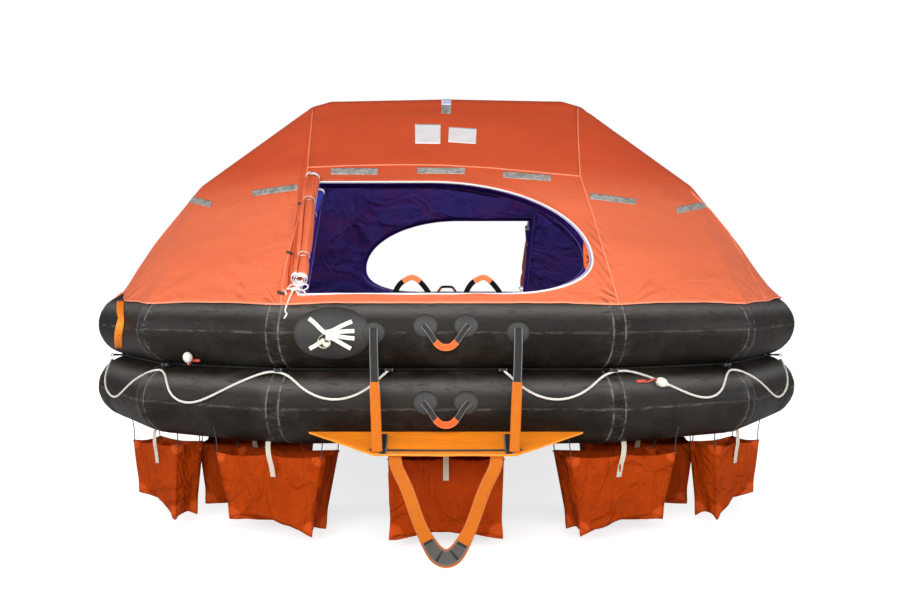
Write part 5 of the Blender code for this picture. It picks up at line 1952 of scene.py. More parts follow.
def tie_cord(shape, centre, axis, radius, tail):
    """Thin cord round a roll, with two loose ends."""
    axis = unit(axis)
    first = unit(np.cross(axis, (1.0, 0.0, 0.0)))
    second = np.cross(axis, first)
    ring = [centre + (first * math.cos(a) + second * math.sin(a)) * radius
            for a in np.linspace(0, 2 * math.pi, 29)[:-1]]
    shape.loop(ring, 0.0026, 6)
    front = np.array((0.0, -1.0, 0.0))
    knot = centre + front * (radius + 0.003)
    for side, length in ((1.0, tail), (-1.0, tail * 0.6)):
        path = [knot, knot + np.array((0.010 * side, -0.004, -0.01)),
                knot + np.array((0.016 * side, -0.002, -length * 0.5)),
                knot + np.array((0.013 * side, 0.002, -length))]
        shape.bar(path, 0.0022, 6, count=14)
    half = np.array((0.008, 0.0, 0.0))
    shape.bar([knot - half, knot + half], 0.006, 8)


def roll_piece(foot, head, radius, core, turns, ties, seed):
    """One rolled door with bound ends, from foot to head: place across, height and lift off the wall."""
    centres = []
    for share in np.linspace(0, 1, 44):
        x, z, lift = np.array(foot) + (np.array(head) - np.array(foot)) * share
        lift += 0.004 * math.sin(math.pi * share)
        centres.append(wall_spot(x + 0.004 * math.sin(7 * share), z, lift))
    rows = rolled_cloth(centres, radius, core, turns, ties, seed)
    shape = Build()
    shape.rows(rows[:, 1:-1])
    for piece in (rows[:, :2], rows[:, -2:]):
        shape.rows(piece, kind=1)
    return shape, np.array(centres)


# Places across and up the front wall of the black toggles beside the rolled door
TOGGLES = ((-0.812, 1.155), (-0.824, 0.872), (-0.832, 0.662))


def doors():
    """Outer and inner doors rolled up beside each entrance and tied."""
    ties_at = (0.20, 0.74)
    liner_ties_at = (0.35, 0.72)
    shape, centres = roll_piece((-0.737, 0.698, 0.041), (-0.760, 1.290, 0.041), 0.043, 0.014, 2.7, ties_at, 3)
    shape.finish_twins("rolled_door_#", [canopy_cloth(), piping_white()], "canopy_fabric", "door_roll_#",
                       wall=sizes().canopy_cloth, sharp=180)
    liner_shape, liner_centres = roll_piece((-0.775, 0.760, -0.050), (-0.722, 1.268, -0.034), 0.027, 0.010,
                                            2.4, liner_ties_at, 8)
    liner_shape.finish_twins("rolled_liner_door_#", [door_lining(), piping_white()], "liner_fabric",
                             "liner_roll_#", wall=0.0018, sharp=180)
    ties = Build()
    for line, shares, radius, tail in ((centres, ties_at, 0.0312, 0.055),
                                       (liner_centres, liner_ties_at, 0.0205, 0.04)):
        for share in shares:
            index = round(share * (len(line) - 1))
            tie_cord(ties, line[index], line[index + 1] - line[index], radius, tail)
    lace_knot(ties)
    for x, z in TOGGLES:
        spot = wall_spot(x, z, 0.006)
        half = np.array((0.010, 0.0, -0.004))
        ties.bar([spot - half, spot + half], 0.0075, 8, kind=1)
    start = wall_spot(-0.815, 0.672, 0.010)
    path = [start, start + np.array((0.012, -0.006, -0.02)), start + np.array((0.006, -0.014, -0.055)),
            start + np.array((0.020, -0.030, -0.085)), start + np.array((0.012, -0.042, -0.112))]
    ties.bar(path, 0.0042, 8, count=26)
    start = wall_spot(-0.80, 0.675, 0.012)
    for reach, drop in ((0.075, -0.010), (0.052, 0.012)):
        path = [start, start + np.array((reach * 0.5, -0.008, drop + 0.012)),
                start + np.array((reach, -0.004, drop))]
        ties.bar(path, 0.0038, 8, count=14)
    ties.finish_twins("door_ties_#", [rope_lay(), black_cord()], "white_rope", sharp=60)


def lace_knot(shape):
    """White cord knotted at the roll's foot: a lump, two loops to its right and a loose tail."""
    centre = wall_spot(-0.760, 0.668, 0.020)
    for lean, wide, high, along in ((0.25, 0.030, 0.015, 0.040), (-0.45, 0.026, 0.013, 0.036)):
        ring = []
        for turn in np.linspace(0, 2 * math.pi, 29)[:-1]:
            u, v = along + wide * math.cos(turn), high * math.sin(turn)
            ring.append(centre + np.array((u * math.cos(lean) - v * math.sin(lean),
                                           -0.006 * math.sin(turn) - 0.004,
                                           u * math.sin(lean) + v * math.cos(lean))))
        shape.loop(ring, 0.0042, 7)
    shape.bar([centre + (-0.010, -0.008, 0.0), centre + (0.012, -0.008, 0.003)], 0.0100, 9)
    tail = [centre + np.array((-0.004, -0.010, -0.004)), centre + np.array((-0.016, -0.020, -0.028)),
            tube_spot(-0.795, 0.118, UPPER_TUBE_Z, 0.0055), tube_spot(-0.786, 0.094, UPPER_TUBE_Z, 0.0050),
            tube_spot(-0.796, 0.072, UPPER_TUBE_Z, 0.0050)]
    shape.bar(tail, 0.0044, 8, count=30)


def door_lining():
    """Brighter blue cloth of the rolled inner doors."""
    return mottled("door_lining", 0.55, (0.020, 0.018, 0.20), (0.045, 0.045, 0.42), (12.0, 4.0),
                   crumples(14.0, 0.8), (0.008, 0.6))


# Boarding pieces


def disc_on_tube(shape, x, arc, level, radius, lift, rings=7, sides=40, squash=1.0):
    """Round rubber patch glued to the front of a tube, its rim bevelled."""
    rows = []
    profile = [(1.0, -0.0012)] + [(1.0 - 0.03 * k, lift * (0.35 + 0.65 * k / 2)) for k in range(3)]
    profile += [(0.94 * (1 - k / rings), lift) for k in range(1, rings)] + [(0.02, lift)]
    for share, height in profile:
        row = []
        for side in range(sides):
            angle = 2 * math.pi * side / sides
            row.append(tube_spot(x + radius * share * math.cos(angle),
                                 arc + radius * squash * share * math.sin(angle), level, height))
        rows.append(row)
    shape.rows(rows, ring=True, caps=True)


def patch_rubber():
    """Rubber of the glued patches, a little greyer than the tube."""

    def build(s):
        place = s.place()
        dusty = use(s, "grime", Vector=place, Scale=9.0, Amount=0.6, Clean=(0.0115, 0.0108, 0.0100),
                    Dust=(0.030, 0.028, 0.025))
        return dusty["Color"], None, s.bump(s.noise(place, 140.0, 3.0), 0.0008, 0.4)

    return finish_of("patch_rubber", 0.6, build)


def grab_handles():
    """Hanging grips on the front and rear of both tubes: webbing in an orange sleeve between two patches."""
    for name, level in (("upper", UPPER_TUBE_Z), ("lower", LOWER_TUBE_Z)):
        shape = Build()
        for side in (-1, 1):
            disc_on_tube(shape, side * 0.100, 0.035, level, 0.060, 0.0040)
            disc_on_tube(shape, side * 0.098, 0.020, level, 0.036, 0.0056, squash=0.7)
        left = [(-0.112, 0.036, 0.004), (-0.086, 0.006, 0.010), (-0.055, -0.034, 0.026),
                (-0.022, -0.058, 0.031)]
        path = smooth_path(left + [(-x, z, out) for x, z, out in left[::-1]], 46)
        centres, reaches, normals = [], [], []
        for index, (x, z, out) in enumerate(path):
            along = heading(path[:, :2], index)
            centres.append(tube_spot(x, z, level, out + 0.004))
            angle = z / TUBE_RADIUS
            reaches.append(np.array((-along[1], 0.0, along[0])) * 0.016)
            normals.append((0.0, -math.cos(angle), math.sin(angle)))
        shape.band(centres, reaches, normals, 0.0032, kind=1)
        sleeve = slice(14, -14)
        shape.band(centres[sleeve], [r * 1.06 for r in reaches[sleeve]], normals[sleeve], 0.0085, kind=2)
        for sewn in (slice(0, 7), slice(-7, None)):
            sew_edges(centres[sewn], reaches[sewn], 0.75, (0.0, -0.0022, 0.0))
        shape.finish_twins(f"grab_handle_{name}_#_webbing", [patch_rubber(), black_webbing(), grip_sleeve()],
                           "black_webbing", f"grab_handle_{name}_#")


def sew_both(path):
    """Stitches on a line at the front and on its twin at the rear."""
    path = np.asarray(path, float)
    sew(path)
    sew(path * HALF_TURN)


def sew_edges(centres, reaches, share, off):
    """Stitches at a share of the width from the middle to both edges of a band, at the front and the rear."""
    for sign in (-share, share):
        sew_both([centre + reach * sign + np.array(off) for centre, reach in zip(centres, reaches)])


def ramp_height(y):
    """Height of the ramp's upper face."""
    inner_y = FRONT_Y - RAMP_SEAT_REACH * math.cos(RAMP_SEAT_ANGLE)
    inner_z = LOWER_TUBE_Z + RAMP_SEAT_REACH * math.sin(RAMP_SEAT_ANGLE)
    return inner_z + (RAMP_EDGE_Z - inner_z) * (y - inner_y) / (RAMP_EDGE_Y - inner_y)


def ramp_half(y):
    """Half of the ramp's width, which narrows away from the raft."""
    share = (FRONT_Y - 0.13 - y) / (FRONT_Y - 0.13 - RAMP_EDGE_Y)
    return RAMP_INNER_HALF + (RAMP_OUTER_HALF - RAMP_INNER_HALF) * share


def ramp():
    """Sloping boarding ramp: a folded sheet of bright cloth with black bands and a stiff rod in its seam."""
    inner_y = FRONT_Y - (RAMP_SEAT_REACH + 0.0025) * math.cos(RAMP_SEAT_ANGLE)
    thickness = 0.009
    rows = []
    for share in np.linspace(0, 1, 17):
        y = inner_y + (RAMP_EDGE_Y + 0.002 - inner_y) * share
        row = []
        for across in np.linspace(-1, 1, 61):
            x = across * ramp_half(y)
            edge = 1 - abs(across)
            hang = -0.006 * math.sin(math.pi * share) * steady(edge / 0.3)
            ripple = 0.0030 * rough((x * 2, y * 5, 0.0), 2.2, 31) * steady(share / 0.2)
            row.append((x, y, ramp_height(y) - 0.0015 + hang + ripple))
        rows.append(row)
    rows = np.array(rows)
    low_rows = rows - np.array((0.0, 0.0, thickness))
    shape = Build()
    section = []
    for index in range(rows.shape[1]):
        top, low = rows[:, index], low_rows[:, index][::-1]
        nose = (top[-1] + low[0]) / 2 + np.array((0.0, -0.0015, 0.0))
        section.append(np.concatenate([top, [nose], low]))
    shape.rows(section, ring=True, caps=True)
    for side in (-1, 1):
        centres, reaches, normals = [], [], []
        for share in np.linspace(0.16, 1.0, 20):
            y = inner_y + (RAMP_EDGE_Y + 0.004 - inner_y) * share
            x = side * (0.292 + 0.012 * (1 - share))
            centres.append((min(abs(x), ramp_half(y)) * side, y, ramp_height(y) + 0.0030))
            reaches.append(np.array((0.019, 0.0, 0.0)))
            normals.append((0.0, 0.0, 1.0))
        shape.band(centres, reaches, normals, 0.0028, kind=1)
        sew_edges(centres, reaches, 0.8, (0.0, 0.0, 0.0018))
    rod = [(-0.352 + 0.704 * share, -2.842, ramp_height(-2.842) + 0.0035 - 0.004 * math.sin(math.pi * share))
           for share in np.linspace(0, 1, 30)]
    shape.bar(rod, 0.0045, 8, kind=2)
    hem = [(-0.322 + 0.644 * share, -2.893, ramp_height(-2.893) + 0.0016) for share in np.linspace(0, 1, 40)]
    sew_both(hem)
    shape.finish_twins("ramp_#_cloth", [ramp_cloth(), black_webbing(), black_cord()], "orange_webbing",
                       "ramp_#")


def ramp_straps():
    """Straps that hold the ramp out: black webbing from a patch, then orange webbing to the ramp's corner."""
    for side, hand, other in ((-1, "left", "right"), (1, "right", "left")):
        shape = Build()
        x = side * 0.356
        disc_on_tube(shape, x, 0.0, UPPER_TUBE_Z, 0.055, 0.0040)
        disc_on_tube(shape, x, -0.006, UPPER_TUBE_Z, 0.032, 0.0056)
        low = (side * 0.318, -2.876, ramp_height(-2.876) + 0.0030)
        spine = [tube_spot(x, 0.022, UPPER_TUBE_Z, 0.0075), tube_spot(x, -0.012, UPPER_TUBE_Z, 0.0078),
                 (side * 0.3525, FRONT_Y - TUBE_RADIUS - 0.046, 0.380),
                 (side * 0.3430, FRONT_Y - TUBE_RADIUS - 0.124, 0.238),
                 (side * 0.3300, FRONT_Y - TUBE_RADIUS - 0.218, 0.078), low]
        path = smooth_path(spine, 60)
        centres, reaches, normals = [], [], []
        for index, spot in enumerate(path):
            along = heading(path, index)
            share = index / 59
            width = 0.0215 + 0.003 * steady((share - 0.4) / 0.1)
            twist = 0.10 * side * math.sin(share * 3.1)
            reach = np.array((math.cos(twist), -math.sin(twist), 0.0)) * width
            reach -= along * (reach @ along)
            centres.append(spot)
            reaches.append(reach)
            normals.append(np.cross(along, reach))
        cut = 26
        for part, kind, thick in ((slice(0, cut + 2), 0, 0.0030), (slice(cut, 60), 1, 0.0036)):
            shape.band(centres[part], reaches[part], normals[part], thick, kind=kind + 1)
        for sewn in (slice(0, 9), slice(cut, cut + 7)):
            sew_edges(centres[sewn], reaches[sewn], 0.8, (0.0, -0.0024, 0.0))
        finishes = [patch_rubber(), black_webbing(), orange_webbing()]
        for end, form, which in (("front", shape, hand), ("rear", shape.turned(), other)):
            form.finish(f"ramp_strap_{end}_{which}_webbing", finishes, "orange_webbing",
                        [f"ramp_strap_{end}_{which}"])


def stirrup():
    """Foot loop of wide webbing below the ramp, with a reflective patch sewn round its lowest part."""
    top = ramp_height(-2.880) - 0.0145
    half = [(0.236, top), (0.226, top - 0.055), (0.178, -0.245), (0.128, -0.385), (0.088, -0.478),
            (0.048, -0.546)]
    outline = [(-x, z) for x, z in half] + [(0.0, -0.568)] + half[::-1]
    count = 90
    path = smooth_path([(x, 0.0, z) for x, z in outline], count)[:, [0, 2]]
    shape = Build()
    centres, reaches, normals = [], [], []
    for index, (x, z) in enumerate(path):
        along = heading(path, index)
        low = steady((abs(x) - 0.125) / -0.09)
        flat = np.array((-along[1], 0.0, along[0]))
        deep = np.array((0.0, 1.0, 0.0))
        turn = math.radians(18) * low
        reach = (flat * math.cos(turn) + deep * math.sin(turn))
        width = 0.030 + 0.013 * low
        centre = np.array((x, -2.880 + 0.004 * math.sin(index * 0.21), z))
        centre = centre + flat * 0.008 * low
        centres.append(centre)
        reaches.append(reach * width)
        normals.append(np.cross((along[0], 0.0, along[1]), reach))
    shape.band(centres, reaches, normals, 0.0042)
    low = [i for i in range(count) if abs(path[i][0]) < 0.088 and path[i][1] < -0.4]
    first, last = low[0], low[-1]
    third = (last - first) // 3
    laps = [(slice(first, last), 0.84, 0.0068, 1)]
    laps += [(slice(index, index + 2), 0.88, 0.0082, 2)
             for index in (first, first + third, first + 2 * third, last - 2)]
    for part, share, thickness, kind in laps:
        shape.band(centres[part], [r * share for r in reaches[part]], normals[part], thickness, kind=kind)
    for sewn in (slice(2, first), slice(last, -2)):
        sew_edges(centres[sewn], reaches[sewn], 0.84, (0.0, -0.0026, 0.0))
    shape.finish_twins("stirrup_#_webbing", [orange_webbing(), panel_webbing(), black_webbing()],
                       "orange_webbing", "stirrup_#")


def boarding_handles():
    """Upright grips just inside the entrances, on a strip along the upper tube's top."""

    def spot(x, angle, reach, end):
        y = -end * (FRONT_Y - reach * math.cos(angle))
        return np.array((-end * x, y, UPPER_TUBE_Z + reach * math.sin(angle)))

    quarter = math.radians(90)
    lean = quarter + math.radians(7.5)
    for name, centres, half, height, strip, end, node in (
            ("boarding_grips_front", (-0.175, 0.189), 0.088, 0.082, 0.32, -1, "boarding_handles_front"),
            ("boarding_grip_rear", (0.0,), 0.085, 0.046, 0.13, 1, "boarding_handle_rear")):
        shape = Build()
        path, reaches, normals = [], [], []
        for x in np.linspace(-strip, strip, 40):
            path.append(spot(x, lean, TUBE_RADIUS + 0.0026, end))
            edges = [spot(x, lean + turn, TUBE_RADIUS + 0.0026, end) for turn in (0.09, -0.09)]
            reaches.append(edges[0] - edges[1])
            normals.append((0.0, 0.1 * end, 1.0))
        shape.band(path, [r * 0.62 for r in reaches], normals, 0.0030, kind=0)
        for middle in centres:
            outline = [(-1.0, 0.0), (-0.82, 0.40), (-0.58, 0.70), (-0.22, 0.93), (0.06, 1.0),
                       (0.34, 0.86), (0.62, 0.56), (0.84, 0.26), (1.0, 0.0)]
            if end > 0:
                outline = [(-1.0, 0.0), (-0.78, 0.55), (-0.50, 1.0), (0.50, 1.0), (0.78, 0.55), (1.0, 0.0)]
            line = smooth_path([(middle + x * half, 0.0, z * height + 0.004) for x, z in outline], 44)
            c, r, n = [], [], []
            for index, (x, _, z) in enumerate(line):
                along = heading(line, index)
                c.append(spot(x, lean, TUBE_RADIUS + z, end))
                broad = 0.0135 if end < 0 else 0.0115
                r.append(np.array((-end * -along[2], 0.0, along[0])) * broad)
                n.append((0.0, -1.0, 0.05 * math.sin(index)))
            shape.band(c, r, n, 0.0030, kind=0)
            if end < 0:
                low, high = 13, 31
                shape.band(c[low:high], [v * 1.05 for v in r[low:high]], n[low:high], 0.0065, kind=1)
            else:
                for low, high in ((2, 12), (32, 42)):
                    shape.band(c[low:high], [v * 1.03 for v in r[low:high]], n[low:high], 0.0048, kind=1)
        shape.finish(name, [dark_webbing(), grip_cloth()], "black_webbing", [node])


# Ballast pockets


def pocket_bottom(shape, rim, doubled, seed):
    """Close a pocket's bag below with rings that run in from its lower rim."""
    middle = rim.mean(axis=0)
    rings, marks = [rim], [doubled]
    for share in (0.86, 0.66, 0.42, 0.20, 0.05):
        ring = middle + (rim - middle) * share
        ring[:, 2] = rim[:, 2] * share + middle[2] * (1 - share)
        ring[:, 2] += [0.008 * rough(p, 8.0, seed + 9) for p in ring]
        rings.append(ring)
        marks.append([v * share for v in doubled])
    shape.rows(np.array(rings), ring=True, marks={"doubled": marks})
    shape.faces.append(tuple(range(len(shape.points) - len(rim), len(shape.points))))
    shape.uvs.extend([(0.0, 0.0)] * len(rim))
    shape.kinds.append(0)


def pocket_shape(seed, size, levels, narrow, slant):
    """Open bag of thin cloth, hung from its corners and a strap: narrower below, creased, with ragged tips.

    Slant lifts the bottom towards one end: its size is the lift and its sign the end.
    """
    half_x, half_y = size[0] / 2, size[1] / 2
    top, bottom = levels
    corner = [(-1, -1), (1, -1), (1, 1), (-1, 1)]
    count, deep = 22, 20
    wall, doubled = [], []
    for level in range(deep + 1):
        drop = level / deep
        row, mark = [], []
        for side in range(4):
            (ax, ay), (bx, by) = corner[side], corner[(side + 1) % 4]
            wide = 2 * half_x if side % 2 == 0 else 2 * half_y
            for step in range(count):
                share = step / count
                x, y = ax + (bx - ax) * share, ay + (by - ay) * share
                taper = 1 - (1 - narrow) * drop
                px, py = x * half_x * taper * 0.992, y * half_y * taper * 0.985
                bay = share * (2 if side == 0 else 1) % 1.0
                hang = sizes().pocket_sag * math.sin(math.pi * bay)
                z = top - (top - bottom) * drop - hang * (1 - drop) ** 1.5 - 0.004
                end = min(share, 1 - share)
                tip = steady((drop - 0.75) / 0.25) * math.exp(-(end * wide / 0.030) ** 2)
                rise = 0.020 * math.sin(math.pi * share) * steady((drop - 0.6) / 0.4)
                rise *= 1 if side % 2 == 0 else 0.5
                z += rise - tip * (0.016 + 0.006 * rough((px * 40, seed, 0.0), 1.0, seed))
                z += 0.007 * rough((px, py, seed), 9.0, seed) * drop
                z += abs(slant) * steady((x * math.copysign(1.0, slant) + 0.9) / 1.9) * drop ** 1.5
                tuck = math.sin(share * wide * 47 + 2.4 * rough((px, z * 0.6, seed), 3.0, seed) + seed)
                star = math.cos(math.atan2((share - 0.5) * wide, (z - top) * 0.8 - 0.02) * 9)
                star *= math.exp(-math.hypot((share - 0.5) * wide, z - top) / 0.15)
                out = 0.016 * rough((px * 1.1, py * 1.1, z * 0.35), 5.0, seed)
                out *= math.sin(math.pi * min(1, drop + 0.1))
                out += 0.0050 * tuck * steady(drop / 0.2) + 0.006 * rough((px, py, z), 17.0, seed + 5)
                out += 0.008 * star if side == 0 else 0.0
                out -= 0.016 * math.sin(math.pi * share) * steady((drop - 0.45) / 0.5)
                nx, ny = [(0, -1), (1, 0), (0, 1), (-1, 0)][side]
                fold = steady(end * wide / 0.035)
                spread = 1 + 0.035 * tip
                row.append((px * spread + nx * out * fold, py * spread + ny * out * fold,
                            max(bottom - 0.022, z)))
                low = math.hypot(end * wide, (1 - drop) * 0.38)
                high = math.hypot(end * wide, drop * 0.38)
                mark.append(max(1 - low / 0.13, 1 - high / 0.10, 0.0))
        wall.append(row)
        doubled.append(mark)
    shape = Build()
    shape.rows(wall, ring=True, marks={"doubled": doubled})
    pocket_bottom(shape, np.array(wall[-1]), doubled[-1], seed)
    return shape


def pocket_places():
    """Every pocket's name, place, turn, size, levels, narrowing, slant and what carries it."""
    places = []
    for end, front in (("front", -1), ("rear", 1)):
        turn = 0.0 if front < 0 else math.pi
        places.append((f"{end}_middle", (0.0, front * 2.368), turn,
                       (0.58, 0.27), (-0.150, -0.545), 0.95, 0.004, "tube"))
        for hand, side in (("left", -1), ("right", 1)):
            out = -side * front
            places.append((f"{end}_{hand}", (side * 0.870, front * 2.277), turn - out * math.radians(-15),
                           (0.58, 0.25), (-0.150, -0.545), 0.76, 0.070 * out, "tube"))
            corner_turn = turn - out * math.radians(-35)
            places.append((f"{end}_quarter_{hand}", (side * 1.545, front * 1.870), corner_turn,
                           (0.36, 0.19), (-0.150, -0.545), 0.80, 0.120 * out, "tube"))
            places.append((f"{end}_inner_{hand}", (side * 1.085, front * 1.66), turn, (0.62, 0.26),
                           (-0.175, -0.560), 0.86, 0.050 * out, "floor"))
    return places


def one_pocket(seed, straps, cords, name, place, turn, size, levels, narrow, slant, above):
    """One pocket, with its strap and corner cords added to the shared pieces."""
    shape = pocket_shape(seed, size, levels, narrow, slant)
    spin = np.array(Matrix.Rotation(turn, 3, "Z"))
    move = np.array((*place, 0.0))

    def world(points):
        return np.asarray(points, float) @ spin.T + move

    shape.points = list(map(tuple, world(shape.points)))
    shape.finish(f"ballast_pocket_{name}", [pocket_cloth()], "pocket_fabric", [f"pocket_{name}"],
                 wall=0.0016, sharp=180)
    top = levels[0]
    roof = tube_bottom if above == "tube" else floor_bottom
    half_x, half_y = size[0] / 2, size[1] / 2
    centres, reaches, normals = [], [], []
    edge = world([(0.0, -half_y, 0.0)])[0]
    high = roof(edge)
    lean = 0.030 * math.copysign(1.0, place[0] * place[1]) if abs(place[0]) > 0.1 else 0.0
    path = smooth_path([(0.0, -half_y + 0.004, high - 0.002), (0.0, -half_y - 0.001, (top + high) / 2),
                        (lean * 0.25, -half_y - 0.006, top - 0.01),
                        (lean * 0.7, -half_y * (1 - (1 - narrow) * 0.15) - 0.010, top - 0.06),
                        (lean, -half_y * (1 - (1 - narrow) * 0.30) - 0.012, top - 0.115)], 24)
    for spot in path:
        centres.append(world([spot])[0])
        reaches.append(spin @ np.array((0.0135, 0.0, 0.0)))
        normals.append(spin @ np.array((0.0, -1.0, 0.0)))
    straps.band(centres, reaches, normals, 0.0024)
    lap = [c + normal * 0.002 for c, normal in zip(centres[12:], normals[12:])]
    for sign in (-0.7, 0.7):
        sew([c + r * sign for c, r in zip(lap, reaches[12:])])
    for x, y in ((-1, -1), (1, -1), (1, 1), (-1, 1)):
        corner = (x * (half_x - 0.006), y * (half_y - 0.006))
        spot = world([(*corner, 0.0)])[0]
        high = roof(spot)
        away = (corner[0] + x * 0.016, corner[1] + y * 0.010)
        path = [(*world([(*away, 0.0)])[0][:2], roof(world([(*away, 0.0)])[0]) - 0.001),
                (*world([(corner[0] + x * 0.006, corner[1], 0.0)])[0][:2], (high + top) / 2),
                (*world([(*corner, 0.0)])[0][:2], top - 0.012)]
        cords.bar(path, 0.0028, 6, count=12)
        ring = [(spot[0] + 0.009 * math.cos(a), spot[1] + 0.009 * math.sin(a), top - 0.012)
                for a in np.linspace(0, 2 * math.pi, 13)[:-1]]
        cords.loop(ring, 0.0022, 6)


def pockets():
    """Fourteen ballast pockets under the raft, each with its strap and corner cords."""
    straps, cords = Build(), Build()
    for number, pocket in enumerate(pocket_places()):
        one_pocket(60 + number, straps, cords, *pocket)
    straps.finish("pocket_straps", [cream_webbing()], "pocket_fabric")
    cords.finish("pocket_cords", [black_cord()], "black_webbing", sharp=60)


def ring_offset(spot):
    """Distance of a place from the tubes' centreline, outward positive."""
    best = 9.0
    value = 0.0
    for index in range(RING_SIDES):
        start = CORNERS[index]
        along = (CORNERS[(index + 1) % RING_SIDES] - start) / SIDES[index]
        at = np.clip((np.asarray(spot[:2]) - start) @ along, 0, SIDES[index])
        away = np.asarray(spot[:2]) - start - along * at
        distance = float(np.linalg.norm(away))
        if distance < best:
            best = distance
            value = distance * (1 if away @ np.array((along[1], -along[0])) > 0 else -1)
    return value


def tube_bottom(spot):
    """Height of the lower tube's skin above a place under it."""
    offset = min(TUBE_RADIUS * 0.98, abs(ring_offset(spot)))
    return LOWER_TUBE_Z - math.sqrt(TUBE_RADIUS ** 2 - offset ** 2)


def floor_bottom(spot):
    """Height of the inflated floor's underside, the same above every place."""
    return FLOOR_BOTTOM


# Markers and fittings


def nearest(tree, point, lift):
    """Place on the cloth nearest to a point, lifted off it, and the cloth's outward direction there."""
    spot, normal, _, _ = tree.find_nearest(Vector(point))
    away = np.array(spot) - np.array((0.0, 0.0, UPPER_TUBE_Z))
    normal = np.array(normal)
    if normal @ away < 0:
        normal = -normal
    return np.array(spot) + normal * lift, normal


def laid_strip(tree, start, stop, width, off, lift=0.0014, steps=16, across=5, ruffle=0.0):
    """Rows of a thin strip that follows the cloth between two points on it."""
    start, stop = np.asarray(start, float), np.asarray(stop, float)
    along = unit(stop - start)
    rows = []
    for step in range(steps + 1):
        centre, normal = nearest(tree, start + (stop - start) * step / steps + np.array(off), 0.0)
        side = unit(np.cross(normal, along))
        row = []
        for column in range(across):
            share = column / (across - 1) * 2 - 1
            edge = 0.0
            if step in (0, steps):
                edge = 0.002 * rough((share * 3, step, start[0]), 1.0, 5)
            spot = centre + side * share * width / 2 + along * edge
            raise_by = lift + ruffle * (0.5 + 0.5 * rough(spot, 34.0, 6))
            row.append(nearest(tree, spot + normal * 0.010, raise_by)[0])
        rows.append(row)
    return np.array(rows)


# Photograph pixels of each tape's ends and its width in pixels
TAPES = [
    ((331, 171.3), (378, 171.6), 6.6),
    ((417, 170.6), (465, 171.0), 6.2),
    ((503, 174.6), (551, 178.2), 6.4),
    ((252.5, 193.4), (298, 187.2), 6.0),
    ((590, 196.0), (636, 202.0), 6.0),
    ((189.8, 199.2), (211.5, 204.6), 6.2),
    ((676.5, 210.6), (706.5, 204.4), 6.4),
]
RIDGE_TAPE = (446.3, 114.6)
FLAP_TOP, FLAP_LENGTH = 235.5, 37.5
FLAP_EDGE = 585.0
STRAP_TOP, STRAP_BOTTOM = 301.0, 348.0
STRAP_EDGE = 125.0
PATCHES = [
    [(415, 124), (440.5, 124.4), (440.3, 144), (415.2, 143.6)],
    [(449, 127), (476.6, 128.6), (475.8, 144), (448.2, 142.2)],
]


def canopy_tree():
    return BVHTree.FromObject(bpy.data.objects["canopy"], bpy.context.evaluated_depsgraph_get())


def seen_patch(tree, corners, lift, along=24, across=6, ruffle=0.0):
    """Rows of a thin patch laid on the cloth where the photograph shows it, between four pixels."""
    a, b, c, d = [np.array(corner, float) for corner in corners]
    rows = []
    for u in np.linspace(0, 1, along + 1):
        row = []
        for v in np.linspace(0, 1, across + 1):
            px, py = (a + (b - a) * u) * (1 - v) + (d + (c - d) * u) * v
            inward = 0.5 if px < PRINCIPAL[0] else -0.5
            tries = (tree.ray_cast(*photo_ray(px + inward * step, py)) for step in range(30))
            spot, normal, _, _ = next(hit for hit in tries if hit[0] is not None)
            normal = normal if normal.y < 0 else -normal
            row.append(spot + normal * (lift + ruffle * (0.5 + 0.5 * rough(spot, 34.0, 6))))
        rows.append(row)
    return np.array([[tuple(spot) for spot in row] for row in rows])


def markers():
    """Reflective tapes and two blank white patches on the canopy."""
    tree = canopy_tree()
    shape = Build()
    for start, stop, width in TAPES:
        start, stop = np.array(start), np.array(stop)
        side = np.array((start[1] - stop[1], stop[0] - start[0]))
        side = side / np.linalg.norm(side) * width / 2
        rows = seen_patch(tree, [start - side, stop - side, stop + side, start + side], 0.0012, ruffle=0.0014)
        shape.rows(rows)
        shape.rows(rows * HALF_TURN)
    spot = tree.ray_cast(*photo_ray(*RIDGE_TAPE))[0]
    for flip in (1, -1):
        start, stop = (spot.x * flip, spot.y * flip, spot.z), (spot.x * flip, -0.78 * flip, 1.905)
        rows = laid_strip(tree, start, stop, 0.062, (0.0, -0.03 * flip, 0.05), steps=30, ruffle=0.0008)
        shape.rows(rows[:10])
        shape.rows(rows[9:], kind=1)
    shape.finish("reflective_tapes", [reflective_tape(), bright_tape()], "canopy_fabric", wall=0.0007,
                 sharp=180)
    patches = Build()
    for corners in PATCHES:
        rows = seen_patch(tree, corners, 0.0014, 14, 12)
        patches.rows(rows)
        patches.rows(rows * HALF_TURN)
    patches.finish("blank_patches", [blank_patch()], "white_plastic", wall=0.0008, sharp=180)


